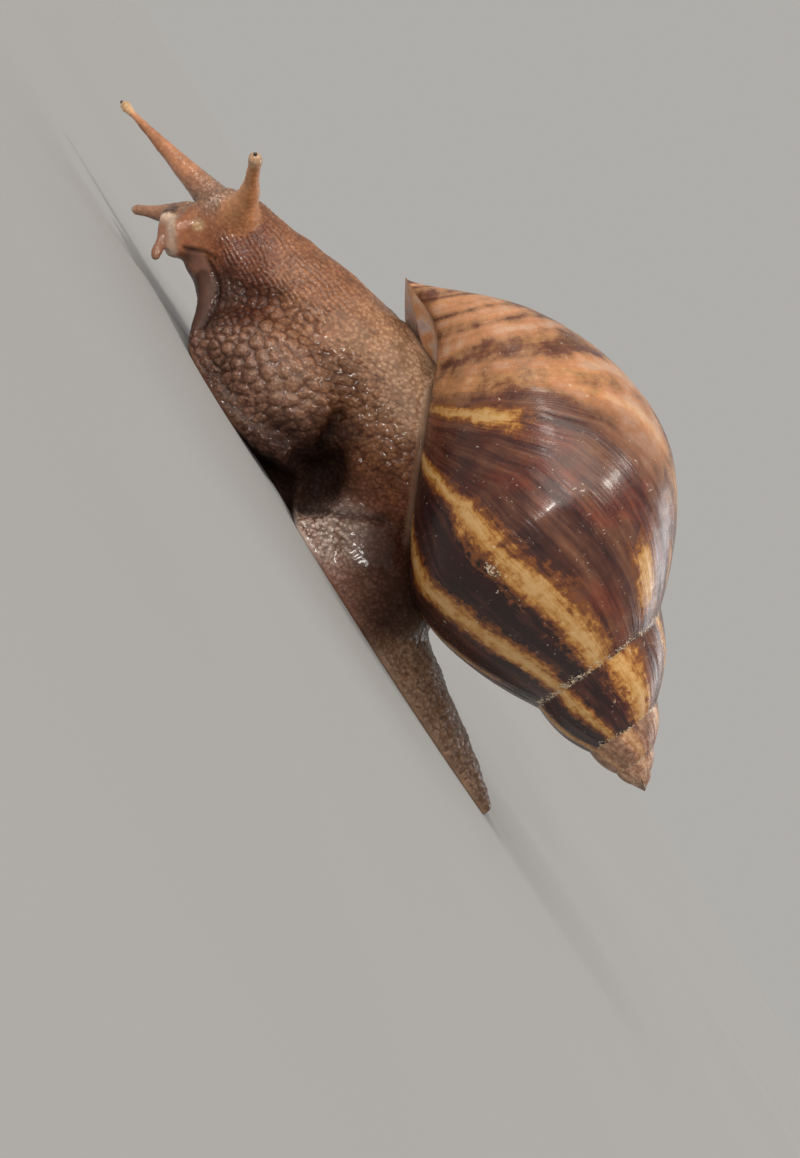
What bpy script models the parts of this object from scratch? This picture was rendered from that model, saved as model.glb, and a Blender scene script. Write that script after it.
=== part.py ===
"""A giant african land snail, life size, crawling with its neck stretched and its head bowed to the left.

The head points along -X, the animal's left side faces -Y, and the sole lies on z = 0.
Sizes are in millimetres, and MM turns them into Blender's metres.
"""

import math

import bmesh
import bpy
from mathutils import Matrix, Vector

MM = 0.001
TAU = 2 * math.pi

# ---- Frame ----
# The body is laid out from a point on the sole under the notch of the foot. ORIGIN is where the middle
# of the finished animal's box lies in that layout, and becomes the row's origin.
ORIGIN = Vector((-5.893, -4.43, 0.0))
GAP = 0.3
WELD = 1e-7  # in metres
SLAB_WIDTH = 60.0

# ---- Shell: a dextral spiral about an axis that runs from the apex forwards to the base ----
SHELL_APEX = Vector((62.0, -6.0, 23.0))
SHELL_PITCH = math.radians(8.8)
LIP_DROP = math.radians(45.0)  # the outer lip at the suture, below the level of the axis on the right side
SPIRE_TURNS = 4.6
SUTURE_R, SUTURE_R_GROWTH = 16.5, 1.84  # radius at the lip, and how many times it grows in a turn
SUTURE_Z, SUTURE_Z_GROWTH = 33.2, 2.02  # distance from the apex at the lip, and its growth in a turn
PERIPHERY_R, PERIPHERY_R_GROWTH = 26.2, 1.30
PERIPHERY_DROP = 23.0  # the widest line's distance past the suture
BASE_Z, BASE_ADVANCE, BASE_POWER = 85.8, 11.5, 2.0  # base tip from the apex, and how it lags before the lip
BASE_ROUND, BASE_FULL = (2.0, 1.3), (0.88, 1.15)  # profile past the widest line: near the lip, and underneath
BEAK_FROM, BEAK_LENGTH, BEAK_DROP = 73.0, 13.0, 2.6  # the base end of the last whorl bends down
LIP_LAG = 0.08  # the lip's base end lags behind its suture end by this part of a turn
SHELL_ROWS, SPIRE_BANDS, BODY_BANDS = 36, 5, 14  # rows in a turn, and faces across

# ---- Foot: x, half width, height of its underside, thickness ----
FOOT_STATIONS = (
    (53.0, 0.8, 0.0, 1.2), (48.0, 3.6, 0.0, 2.6), (38.0, 8.0, 0.0, 4.4), (24.0, 11.4, 0.0, 7.0),
    (10.0, 12.6, 0.0, 11.0), (3.0, 12.8, 0.0, 13.0), (-1.0, 12.4, 1.0, 13.0), (-5.0, 12.0, 3.2, 13.0),
    (-8.5, 12.2, 3.6, 13.0), (-12.0, 12.6, 2.2, 14.0), (-18.0, 12.8, 0.4, 15.0), (-22.0, 12.6, 0.0, 15.0),
    (-28.0, 11.4, 0.0, 13.0), (-32.5, 9.4, 1.8, 10.0), (-36.5, 7.4, 5.6, 6.5), (-40.0, 6.0, 7.4, 4.5),
    (-43.5, 3.6, 7.2, 3.0),
)
FOOT_RIM = 0.26  # thickness of the foot's edge, as a share of its thickness
NOTCH = ((-4.6, 6.0, 4.4, 3.6), (-5.9, 1.4, 2.2, 4.2))  # x, z and half sizes of the hollow between the two lobes
NOTCH_Y, NOTCH_DEPTH = 14.5, 9.5  # the middle of each flank's hollow, and how far it reaches in from there
WEB_X, WEB_HALF, WEB_EASE = -15.0, 4.5, 3.0  # behind WEB_X the middle of the sole stays down on the floor

# ---- Neck and column: x, y and z of each section's middle, half width, half height ----
NECK_STATIONS = (
    (24.0, 1.0, 4.5, 7.0, 4.0), (17.0, 1.0, 8.5, 9.5, 8.0), (10.0, 1.5, 14.0, 11.0, 14.0),
    (0.0, 1.5, 16.5, 11.4, 14.6), (-10.0, 1.0, 16.2, 11.0, 14.8), (-19.0, 0.4, 15.2, 10.2, 14.4),
    (-28.0, 0.0, 14.6, 8.8, 12.6), (-36.0, 0.0, 14.2, 7.6, 10.2), (-42.0, -0.4, 14.2, 6.6, 8.0),
    (-46.5, -0.9, 14.4, 5.8, 6.2), (-50.0, -1.6, 13.6, 4.4, 4.4),
)

# ---- Head: bowed down and turned to the animal's left ----
SNOUT_BACK = Vector((-46.0, -0.8, 12.2))
SNOUT_FRONT = Vector((-48.3, -4.8, 5.0))
HEAD_RIGHT = Vector((-0.69, 0.71, -0.15)).normalized()
SNOUT_WIDTH, SNOUT_DEPTH = 4.5, 3.9  # half sizes

# ---- Tentacles: root inside the head, tip, radius at the root, of the shaft and of the knob ----
TENTACLES = {
    "tentacle_upper_left": (Vector((-43.6, -1.6, 14.6)), Vector((-47.6, -19.0, 24.2)), (3.9, 0.95, 1.08)),
    "tentacle_upper_right": (Vector((-47.5, 2.0, 15.6)), Vector((-73.2, 7.6, 10.6)), (3.0, 0.72, 0.92)),
    "tentacle_lower_left": (Vector((-49.2, -3.0, 8.6)), Vector((-46.3, -6.9, 2.7)), (1.1, 0.5, 0.75)),
    "tentacle_lower_right": (Vector((-49.0, -1.2, 9.2)), Vector((-56.1, 0.4, 3.3)), (1.4, 0.45, 0.58)),
}
STALK_TAPER = 2.0  # how soon a stalk narrows from its root to its shaft
EYE_RADIUS = 0.45
EYE_OFFSET = 0.72  # from the middle of the knob towards its tip

# ---- Where the flesh is parted ----
SOLE_CUT_FRONT, SOLE_CUT_REAR = (-41.0, 10.4), (26.0, 4.0)  # x and z of the ends of the cut above the foot
HEAD_CUT_X, COLUMN_CUT_X, NOTCH_X = -41.0, -17.0, -5.0
COLLAR_DEPTH, COLLAR_PROUD = 1.9, 0.8  # the mantle collar along the shell, and how far it stands out

FLESH_VOXEL, FLESH_SHARE = 0.55, 0.041  # the fine skin's grain, and the share of its faces that the solids keep
GROWN_VOXEL, GROWN_SHARE = 0.8, 0.06
GROWN_SLACK = 0.2  # how far a grown copy's thinned faces may fall short of its distance

# ---- Finishes: colour, roughness ----
FINISHES = {
    "shell": ((0.235, 0.105, 0.05), 0.28),
    "skin": ((0.19, 0.125, 0.075), 0.32),
    "mantle": ((0.13, 0.085, 0.06), 0.3),
    "eye": ((0.01, 0.008, 0.007), 0.15),
}


# ---------------------------------------------------------------- meshes
def new_object(name, bm, collection):
    """Turn a bmesh in millimetres of the layout into an object in metres of the row's frame."""
    bmesh.ops.translate(bm, vec=-ORIGIN, verts=bm.verts)
    bmesh.ops.scale(bm, vec=(MM, MM, MM), verts=bm.verts)
    mesh = bpy.data.meshes.new(name)
    bm.to_mesh(mesh)
    bm.free()
    obj = bpy.data.objects.new(name, mesh)
    collection.objects.link(obj)
    return obj


def ring_loft(rings, bm=None):
    """Skin closed rings of equal count, in order, and close both ends with a fan."""
    bm = bm or bmesh.new()
    loops = [[bm.verts.new(point) for point in ring] for ring in rings]
    count = len(loops[0])
    for first, second in zip(loops, loops[1:]):
        for i in range(count):
            j = (i + 1) % count
            bm.faces.new((first[i], first[j], second[j], second[i]))
    for loop in (loops[0], loops[-1]):
        middle = bm.verts.new(sum((vert.co for vert in loop), Vector()) / count)
        for i in range(count):
            bm.faces.new((loop[i], loop[(i + 1) % count], middle))
    bmesh.ops.recalc_face_normals(bm, faces=bm.faces)
    return bm


def ball(centre, radius):
    """A round ball."""
    bm = bmesh.new()
    bmesh.ops.create_uvsphere(bm, u_segments=10, v_segments=6, radius=radius)
    bmesh.ops.translate(bm, vec=centre, verts=bm.verts)
    return bm


def ellipse(centre, side, up, half_width, half_height, count, square=2.0):
    """A ring of points on a superellipse; square = 2 is an ellipse, and more is boxier."""
    ring = []
    for i in range(count):
        angle = TAU * i / count
        c, s = math.cos(angle), math.sin(angle)
        x = math.copysign(abs(c) ** (2 / square), c) * half_width
        y = math.copysign(abs(s) ** (2 / square), s) * half_height
        ring.append(centre + side * x + up * y)
    return ring


def smooth_stations(stations, steps):
    """Catmull-Rom through a table of stations, with steps points in each span."""
    rows = [tuple(row) for row in stations]
    padded = [rows[0]] + rows + [rows[-1]]
    out = []
    for i in range(len(rows) - 1):
        a, b, c, d = padded[i:i + 4]
        for k in range(steps):
            t = k / steps
            out.append(tuple(
                0.5 * (2 * q + (r - p) * t + (2 * p - 5 * q + 4 * r - s) * t * t + (3 * q - p - 3 * r + s) * t ** 3)
                for p, q, r, s in zip(a, b, c, d)))
    out.append(rows[-1])
    return out


# ---------------------------------------------------------------- shell
def suture(t):
    """Radius and distance from the apex of the suture, t turns after the lip (t <= 0 is earlier)."""
    return SUTURE_R * SUTURE_R_GROWTH ** t, SUTURE_Z * SUTURE_Z_GROWTH ** t


def periphery(t):
    """Radius and distance from the apex of the whorl's widest line."""
    return PERIPHERY_R * PERIPHERY_R_GROWTH ** t, suture(t)[1] + PERIPHERY_DROP


def eased(x):
    """A smooth step from 0 at x = 0 to 1 at x = 1."""
    x = min(1.0, max(0.0, x))
    return x * x * (3 - 2 * x)


def spire_point(t, v):
    """A gently bulged band between this turn's suture and the next one's."""
    (r0, z0), (r1, z1) = suture(t), suture(t + 1)
    bulge = 0.075 * math.sin(math.pi * v)
    return r0 + (r1 - r0) * v + bulge * (z1 - z0), z0 + (z1 - z0) * v - bulge * (r1 - r0)


def body_point(t, v_up, v_down):
    """The last whorl: v_up runs from the suture to the periphery, v_down from there to the base."""
    settle = eased((t + 1) / 0.14)
    peri_start, peri_now, target = periphery(-1), periphery(t), suture(0)
    rp = peri_now[0] + (target[0] - peri_start[0]) * (1 - settle)
    zp = peri_now[1] + (target[1] - peri_start[1]) * (1 - settle)
    if v_down <= 0:
        rs, zs = suture(t)
        grown = (rs + (rp - rs) * (1 - (1 - v_up) ** 1.75), zs + (zp - zs) * v_up)
        bulge = 0.075 * math.sin(math.pi * v_up)
        young = (rs + (rp - rs) * v_up + bulge * (zp - zs), zs + (zp - zs) * v_up - bulge * (rp - rs))
        return tuple(y + (g - y) * settle for y, g in zip(young, grown))
    base = BASE_Z - BASE_ADVANCE * max(0.0, -t) ** BASE_POWER
    w = 0.55 * math.sin(v_down * math.pi / 2) + 0.45 * v_down
    under = eased((-t - 0.35) / 0.4)
    bend = BASE_ROUND[0] + (BASE_ROUND[1] - BASE_ROUND[0]) * under
    full = BASE_FULL[0] + (BASE_FULL[1] - BASE_FULL[0]) * under
    return rp * max(0.0, 1 - w ** bend) ** full, zp + (base - zp) * w


def shell_place(t, radius, along):
    """A point of the shell in the layout. Growth runs up the left side, over the top and down the right."""
    axis = Vector((-math.cos(SHELL_PITCH), 0, math.sin(SHELL_PITCH)))
    right, top = Vector((0, 1, 0)), Vector((math.sin(SHELL_PITCH), 0, math.cos(SHELL_PITCH)))
    angle = -t * TAU - LIP_DROP
    drop = BEAK_DROP * eased((along - BEAK_FROM) / BEAK_LENGTH)
    return SHELL_APEX + axis * along + (right * math.cos(angle) + top * math.sin(angle)) * radius - top * drop


def shell_mesh():
    """The spire's bands are welded to each other along the suture, and the last whorl ends in the lip."""
    bm = bmesh.new()
    spire_rows = round((SPIRE_TURNS - 1) * SHELL_ROWS)
    rows = []
    for i in range(spire_rows + SHELL_ROWS + 1):
        t = (i - spire_rows - SHELL_ROWS) / SHELL_ROWS
        if i < spire_rows:
            points = [(t, *spire_point(t, j / SPIRE_BANDS)) for j in range(SPIRE_BANDS)]
        else:
            lag = LIP_LAG * max(0.0, (t + 0.35) / 0.35) ** 2
            points = []
            for j in range(SPIRE_BANDS + BODY_BANDS + 1):
                across = j / (SPIRE_BANDS + BODY_BANDS)
                turn = t - lag * across ** 1.5
                down = max(0, j - SPIRE_BANDS) / BODY_BANDS
                points.append((turn, *body_point(turn, min(1.0, j / SPIRE_BANDS), down)))
        rows.append([bm.verts.new(shell_place(*point)) for point in points])
    for i in range(spire_rows):
        rows[i].append(rows[i + SHELL_ROWS][0])
    for i, (first, second) in enumerate(zip(rows, rows[1:])):
        across = min(len(first), len(second)) - 1
        for j in range(across):
            bm.faces.new((first[j], first[j + 1], second[j + 1], second[j]))
    lip, wall = rows[-1], rows[spire_rows]
    ends = [row[-1] for row in rows[spire_rows:]]
    mouth = lip[1:-1] + ends[::-1] + wall[SPIRE_BANDS + 1:-1][::-1] + [lip[0]]
    fill_loop(bm, mouth)
    tip = bm.verts.new(SHELL_APEX + Vector((-0.35, 0, 0)))
    first_ring = [row[0] for row in rows[:SHELL_ROWS + 1]] + rows[0][1:-1][::-1]
    for a, b in zip(first_ring, first_ring[1:] + first_ring[:1]):
        bm.faces.new((a, b, tip))
    bmesh.ops.remove_doubles(bm, verts=bm.verts, dist=0.02)
    bmesh.ops.dissolve_degenerate(bm, edges=bm.edges, dist=0.005)
    bmesh.ops.triangulate(bm, faces=bm.faces)
    bmesh.ops.recalc_face_normals(bm, faces=bm.faces)
    return bm


def fill_loop(bm, loop):
    """Close a loop of vertices with a fan about its middle."""
    middle = bm.verts.new(sum((vert.co for vert in loop), Vector()) / len(loop))
    for a, b in zip(loop, loop[1:] + loop[:1]):
        bm.faces.new((a, b, middle))


# ---------------------------------------------------------------- flesh
def foot_rings():
    """A flat sole under a loaf that rises from its rim to the middle."""
    across, up, count = Vector((0, 1, 0)), Vector((0, 0, 1)), 24
    rings = []
    for x, half, low, thick in smooth_stations(FOOT_STATIONS, 3):
        ring = []
        for i in range(count):
            angle = TAU * i / count
            c, s = math.cos(angle), math.sin(angle)
            y = half * math.copysign(abs(c) ** 0.8, c)
            crown = thick * (FOOT_RIM + (1 - FOOT_RIM) * (1 - abs(c) ** 2.2))
            raised = low * eased((abs(y) - WEB_HALF) / WEB_EASE) if x > WEB_X and s < 0 else low
            z = raised + (crown * s if s > 0 else 1.5 * s)
            ring.append(Vector((x, 0, 0)) + across * y + up * (z + (0.5 if s > 0 else 0.0)))
        rings.append(ring)
    return rings


def neck_rings():
    """Upright oval sections from the tail side of the column to the back of the head."""
    return [ellipse(Vector((x, y, z)), Vector((0, 1, 0)), Vector((0, 0, 1)), half_width, half_height, 28, 2.2)
            for x, y, z, half_width, half_height in smooth_stations(NECK_STATIONS, 3)]


def snout_rings():
    """The snout, boxy in section, from inside the head to the lips."""
    forward = (SNOUT_FRONT - SNOUT_BACK).normalized()
    side = (HEAD_RIGHT - forward * HEAD_RIGHT.dot(forward)).normalized()
    top = side.cross(forward)
    length = (SNOUT_FRONT - SNOUT_BACK).length
    rings = []
    for k in range(9):
        s = k / 8
        swell = 1.0 + 0.10 * math.sin(math.pi * s) - (0.10 * ((s - 0.8) / 0.2) if s > 0.8 else 0)
        centre = SNOUT_BACK + forward * length * s
        rings.append(ellipse(centre, side, top, SNOUT_WIDTH * swell, SNOUT_DEPTH * swell, 20, 2.8))
    return rings


def tentacle_rings(base, tip, radii, count=10, steps=11):
    """A tapering stalk with a rounded knob on its end."""
    base_r, shaft_r, knob_r = radii
    length = (tip - base).length
    forward = (tip - base).normalized()
    side = forward.orthogonal().normalized()
    up = forward.cross(side)
    rings = []
    for k in range(steps + 1):
        distance = length * (k / steps) ** 0.8
        stalk = shaft_r + (base_r - shaft_r) * (1 - distance / length) ** STALK_TAPER
        from_tip = length - distance
        ball = math.sqrt(max(0.0, knob_r ** 2 - (from_tip - knob_r) ** 2))
        radius = max(ball, 0.15 * knob_r) if from_tip < knob_r else max(ball, stalk)
        rings.append(ellipse(base + forward * distance, side, up, radius, radius, count))
    return rings


# ---------------------------------------------------------------- solids
def evaluated_copy(obj, name, collection):
    """The object as its modifiers leave it, as a new object without modifiers."""
    graph = bpy.context.evaluated_depsgraph_get()
    mesh = bpy.data.meshes.new_from_object(obj.evaluated_get(graph))
    copy = bpy.data.objects.new(name, mesh)
    collection.objects.link(copy)
    copy.matrix_world = obj.matrix_world
    return copy


def remove(obj):
    bpy.data.objects.remove(obj, do_unlink=True)


def boolean(obj, other, operation):
    """Combine with another solid, and keep the result as plain mesh."""
    modifier = obj.modifiers.new(operation.lower(), "BOOLEAN")
    modifier.operation = operation
    modifier.object = other
    modifier.solver = "EXACT"
    name, collection = obj.name, obj.users_collection[0]
    result = evaluated_copy(obj, name + "_new", collection)
    remove(obj)
    result.name = name
    return result


def grown(obj, distance, name, collection):
    """A copy whose surface stands off by a distance in millimetres."""
    source = evaluated_copy(obj, name + "_source", collection)
    modifier = source.modifiers.new("grow", "DISPLACE")
    modifier.strength = distance * MM
    modifier.mid_level = 0
    modifier.direction = "NORMAL"
    return skinned(source, name, collection, GROWN_VOXEL, GROWN_SHARE)


def skinned(obj, name, collection, voxel, share=1.0):
    """Overlapping shapes become one smooth closed skin of even faces, thinned to a share of them."""
    remesh = obj.modifiers.new("skin", "REMESH")
    remesh.mode = "VOXEL"
    remesh.voxel_size = voxel * MM
    ease = obj.modifiers.new("ease", "SMOOTH")
    ease.factor, ease.iterations = 0.5, 2
    if share < 1:
        thin = obj.modifiers.new("thin", "DECIMATE")
        thin.ratio = share
    result = evaluated_copy(obj, name, collection)
    remove(obj)
    return result


def hollow(name, x, z, radius_x, radius_z, flank, collection):
    """A cutter that takes a rounded hollow out of one flank, open outwards."""
    across, up = Vector((1, 0, 0)), Vector((0, 0, 1))
    rings = []
    for k in range(8):
        angle = math.pi / 2 * (1 - k / 7) * 0.97
        y = NOTCH_Y - NOTCH_DEPTH * math.sin(angle)
        narrow = math.cos(angle)
        rings.append(ellipse(Vector((x, flank * y, z)), across, up, radius_x * narrow, radius_z * narrow, 20))
    rings.append(ellipse(Vector((x, flank * 30.0, z)), across, up, radius_x, radius_z, 20))
    return new_object(name, ring_loft(rings), collection)


def whole_flesh(collection, cutters):
    """Foot, neck and snout as one smooth closed body with a flat sole and an arch between its two lobes."""
    bm = ring_loft(foot_rings())
    for rings in (neck_rings(), snout_rings()):
        ring_loft(rings, bm)
    flesh = skinned(new_object("flesh_raw", bm, collection), "flesh_fine", collection, FLESH_VOXEL)
    for i, (x, z, radius_x, radius_z) in enumerate(NOTCH):
        for flank in (-1, 1):
            cutter = hollow(f"notch_{i}_{flank}", x, z, radius_x, radius_z, flank, cutters)
            flesh = boolean(flesh, cutter, "DIFFERENCE")
    flesh = skinned(flesh, "flesh", collection, FLESH_VOXEL, FLESH_SHARE)
    bm = bmesh.new()
    bm.from_mesh(flesh.data)
    geometry = bm.verts[:] + bm.edges[:] + bm.faces[:]
    cut = bmesh.ops.bisect_plane(bm, geom=geometry, plane_co=(0, 0, 0), plane_no=(0, 0, -1), clear_outer=True)
    rim = [edge for edge in cut["geom_cut"] if isinstance(edge, bmesh.types.BMEdge)]
    bmesh.ops.holes_fill(bm, edges=rim, sides=0)
    bmesh.ops.triangulate(bm, faces=bm.faces)
    bmesh.ops.recalc_face_normals(bm, faces=bm.faces)
    bm.to_mesh(flesh.data)
    bm.free()
    return flesh


def slab(name, corner, far_corner, collection):
    """A cutter one gap thick, from one line across the body to another; each is an (x, z) pair."""
    start, end = Vector((corner[0], 0, corner[1])), Vector((far_corner[0], 0, far_corner[1]))
    bm = bmesh.new()
    bmesh.ops.create_cube(bm, size=1.0)
    bmesh.ops.scale(bm, vec=((end - start).length, SLAB_WIDTH, GAP), verts=bm.verts)
    along, across = (end - start).normalized(), Vector((0, 1, 0))
    turn = Matrix((along, across, along.cross(across))).transposed().to_4x4()
    bmesh.ops.transform(bm, matrix=Matrix.Translation((start + end) / 2) @ turn, verts=bm.verts)
    return new_object(name, bm, collection)


def part_flesh(flesh, cutters):
    """Take the thin cuts out of the flesh, which leaves its parts as loose pieces of one mesh."""
    x0, z0 = SOLE_CUT_FRONT
    x1, z1 = SOLE_CUT_REAR
    column_z, notch_z = (z0 + (z1 - z0) * (x - x0) / (x1 - x0) for x in (COLUMN_CUT_X, NOTCH_X))
    low, high = -4.0, 40.0
    cuts = (
        slab("cut_sole", SOLE_CUT_FRONT, SOLE_CUT_REAR, cutters),
        slab("cut_tail", (x1, low), (x1, high), cutters),
        slab("cut_head", (HEAD_CUT_X, low), (HEAD_CUT_X, high), cutters),
        slab("cut_column", (COLUMN_CUT_X, column_z), (COLUMN_CUT_X, high), cutters),
        slab("cut_notch", (NOTCH_X, low), (NOTCH_X, notch_z), cutters),
    )
    for cut in cuts:
        flesh = boolean(flesh, cut, "DIFFERENCE")
    return loose_pieces(flesh)


def loose_pieces(obj):
    """Split a mesh into an object for each loose piece, largest first."""
    bm = bmesh.new()
    bm.from_mesh(obj.data)
    pieces = []
    for start in bm.faces:
        if start.tag:
            continue
        start.tag = True
        stack, group = [start], []
        while stack:
            face = stack.pop()
            group.append([vert.co.copy() for vert in face.verts])
            for edge in face.edges:
                for other in edge.link_faces:
                    if not other.tag:
                        other.tag = True
                        stack.append(other)
        pieces.append(group)
    bm.free()
    pieces.sort(key=len, reverse=True)
    collection = obj.users_collection[0]
    remove(obj)
    out = []
    for corners_of_faces in pieces:
        bm = bmesh.new()
        for corners in corners_of_faces:
            bm.faces.new([bm.verts.new(corner) for corner in corners])
        bmesh.ops.remove_doubles(bm, verts=bm.verts, dist=WELD)
        mesh = bpy.data.meshes.new("piece")
        bm.to_mesh(mesh)
        bm.free()
        piece = bpy.data.objects.new("piece", mesh)
        collection.objects.link(piece)
        out.append(piece)
    return out


def largest(obj, name):
    """The largest loose piece of a mesh, under a name; crumbs are dropped."""
    first, *crumbs = loose_pieces(obj)
    for crumb in crumbs:
        remove(crumb)
    first.name = name
    return first


def middle_of(obj):
    """Middle of an object's box, in millimetres of the layout."""
    corners = [Vector(corner) for corner in obj.bound_box]
    return sum(corners, Vector()) / len(corners) / MM + ORIGIN


def flesh_name(centre):
    """The name of a piece of the flesh, from where its middle lies."""
    if centre.x < HEAD_CUT_X:
        return "head"
    if centre.x > SOLE_CUT_REAR[0]:
        return "foot_tail"
    share = (centre.x - SOLE_CUT_FRONT[0]) / (SOLE_CUT_REAR[0] - SOLE_CUT_FRONT[0])
    sole_z = SOLE_CUT_FRONT[1] + (SOLE_CUT_REAR[1] - SOLE_CUT_FRONT[1]) * share
    if centre.z < sole_z:
        return "foot_front" if centre.x < NOTCH_X else "foot_middle"
    return "neck" if centre.x < COLUMN_CUT_X else "column"


def finish(obj, slot):
    """Give an object its own material, and shade it smooth."""
    (red, green, blue), roughness = FINISHES[slot]
    material = bpy.data.materials.new(obj.name)
    material.use_nodes = True
    shader = material.node_tree.nodes["Principled BSDF"]
    shader.inputs["Base Color"].default_value = (red, green, blue, 1)
    shader.inputs["Roughness"].default_value = roughness
    shader.inputs["Metallic"].default_value = 0
    obj.data.materials.clear()
    obj.data.materials.append(material)
    for polygon in obj.data.polygons:
        polygon.use_smooth = True


def main():
    for obj in list(bpy.data.objects):
        remove(obj)
    snail = bpy.data.collections.new("giant_african_land_snail")
    cutters = bpy.data.collections.new("cutters")
    for collection in (snail, cutters):
        bpy.context.scene.collection.children.link(collection)

    shell = new_object("shell", shell_mesh(), snail)
    flesh = whole_flesh(snail, cutters)

    seat = grown(shell, GAP + GROWN_SLACK, "shell_seat", cutters)
    collar_outside = grown(shell, GAP + COLLAR_DEPTH, "collar_outside", cutters)
    collar_room = grown(shell, 2 * GAP + COLLAR_DEPTH + GROWN_SLACK, "collar_room", cutters)
    collar = boolean(grown(flesh, COLLAR_PROUD, "collar_raw", snail), collar_outside, "INTERSECT")
    collar = largest(boolean(collar, seat, "DIFFERENCE"), "mantle_collar")
    flesh = boolean(flesh, collar_room, "DIFFERENCE")

    soft = [collar]
    for piece in part_flesh(flesh, cutters):
        name = flesh_name(middle_of(piece))
        if name in bpy.data.objects:
            remove(piece)
            continue
        piece.name = name
        soft.append(piece)
    for name, (root, tip, radii) in TENTACLES.items():
        tentacle = new_object(name, ring_loft(tentacle_rings(root, tip, radii)), snail)
        head_room = grown(bpy.data.objects["head"], GAP + GROWN_SLACK, "head_room", cutters)
        tentacle = largest(boolean(tentacle, head_room, "DIFFERENCE"), name)
        remove(head_room)
        if "upper" in name:
            side = name.rsplit("_", 1)[1]
            knob_r = radii[2]
            centre = tip + (root - tip).normalized() * (knob_r - EYE_OFFSET)
            seat_ball = new_object("eye_seat_" + side, ball(centre, EYE_RADIUS + GAP), cutters)
            tentacle = boolean(tentacle, seat_ball, "DIFFERENCE")
            finish(new_object("eye_" + side, ball(centre, EYE_RADIUS), snail), "eye")
        soft.append(tentacle)

    finish(shell, "shell")
    for obj in soft:
        finish(obj, "mantle" if obj is collar else "skin")
    for obj in cutters.objects:
        obj.hide_render = True
        obj.display_type = "WIRE"


main()
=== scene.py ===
"""A giant african land snail, life size: its skin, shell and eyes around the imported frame.

Sizes are in millimetres of the maker's layout, whose zero is a point on the sole under the notch of the foot.
metres() turns them into the frame. The head points along -X and the animal's left side faces -Y.
"""

import logging
import math
from dataclasses import dataclass, field
from enum import Enum
from typing import Callable

import bmesh
import bpy
import numpy as np
from mathutils import Matrix, Vector, noise
from mathutils.bvhtree import BVHTree
from mathutils.kdtree import KDTree


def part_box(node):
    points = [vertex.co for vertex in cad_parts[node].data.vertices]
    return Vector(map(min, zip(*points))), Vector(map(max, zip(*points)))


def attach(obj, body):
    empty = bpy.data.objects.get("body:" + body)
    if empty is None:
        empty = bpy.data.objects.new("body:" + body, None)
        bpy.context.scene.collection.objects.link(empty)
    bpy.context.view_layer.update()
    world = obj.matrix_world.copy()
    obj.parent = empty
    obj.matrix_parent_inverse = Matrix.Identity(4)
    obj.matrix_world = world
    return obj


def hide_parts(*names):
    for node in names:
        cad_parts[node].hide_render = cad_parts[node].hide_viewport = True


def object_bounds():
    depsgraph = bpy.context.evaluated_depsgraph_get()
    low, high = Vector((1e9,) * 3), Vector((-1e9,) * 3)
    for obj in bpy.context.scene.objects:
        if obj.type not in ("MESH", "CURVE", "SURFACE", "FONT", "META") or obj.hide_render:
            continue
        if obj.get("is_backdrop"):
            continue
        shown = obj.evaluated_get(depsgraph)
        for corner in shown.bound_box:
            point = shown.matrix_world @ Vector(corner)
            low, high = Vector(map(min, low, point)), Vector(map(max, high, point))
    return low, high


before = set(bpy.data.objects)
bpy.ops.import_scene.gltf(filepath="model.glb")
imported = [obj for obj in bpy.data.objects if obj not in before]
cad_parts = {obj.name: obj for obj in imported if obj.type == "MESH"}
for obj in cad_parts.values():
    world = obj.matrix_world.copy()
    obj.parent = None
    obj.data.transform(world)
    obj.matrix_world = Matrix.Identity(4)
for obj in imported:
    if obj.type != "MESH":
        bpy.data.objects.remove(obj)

LOG = logging.getLogger("snail")
MM = 0.001
TAU = 2 * math.pi
ORIGIN = np.array((-5.893, -4.43, 0.0))
BODY = "root"
SEED = 9

Triple = tuple[float, float, float]
Tone = tuple[float, float, float]
Socket = bpy.types.NodeSocket
Value = float | Socket | tuple


class Slot(Enum):
    """The record's material slots."""

    SHELL = "shell"
    SKIN = "skin"
    EYE = "eye"


class Flank(Enum):
    """Which side of the body something is on."""

    BOTH = "both"
    LEFT = "left"
    RIGHT = "right"


# ---------------------------------------------------------------- numbers and meshes
def metres(points: np.ndarray) -> np.ndarray:
    """Layout millimetres to the frame's metres."""
    return (np.asarray(points, dtype=float) - ORIGIN) * MM


def layout(points: np.ndarray) -> np.ndarray:
    """The frame's metres to layout millimetres."""
    return np.asarray(points, dtype=float) / MM + ORIGIN


def eased(x: np.ndarray | float) -> np.ndarray:
    """A smooth step from 0 at x = 0 to 1 at x = 1."""
    x = np.clip(x, 0.0, 1.0)
    return x * x * (3 - 2 * x)


def bell(x: np.ndarray | float) -> np.ndarray:
    """A bump of height 1 about x = 0, nearly gone at x = 2."""
    return np.exp(-np.square(x))


def unit(vectors: np.ndarray) -> np.ndarray:
    """Each vector at length 1."""
    return vectors / np.maximum(np.linalg.norm(vectors, axis=-1, keepdims=True), 1e-12)


def smooth_stations(stations: tuple[tuple[float, ...], ...], steps: int) -> np.ndarray:
    """Draw a Catmull-Rom line through a table of stations.

    Args:
        stations: Rows of equal length.
        steps: Points in each span.

    Returns:
        The rows of the line, ends included.
    """
    rows = np.array(stations, dtype=float)
    padded = np.vstack([rows[:1], rows, rows[-1:]])
    t = (np.arange(steps) / steps)[:, None]
    out = []
    for i in range(len(rows) - 1):
        p, q, r, s = padded[i:i + 4]
        out.append(0.5 * (2 * q + (r - p) * t + (2 * p - 5 * q + 4 * r - s) * t ** 2
                          + (3 * q - p - 3 * r + s) * t ** 3))
    return np.vstack(out + [rows[-1:]])


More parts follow.
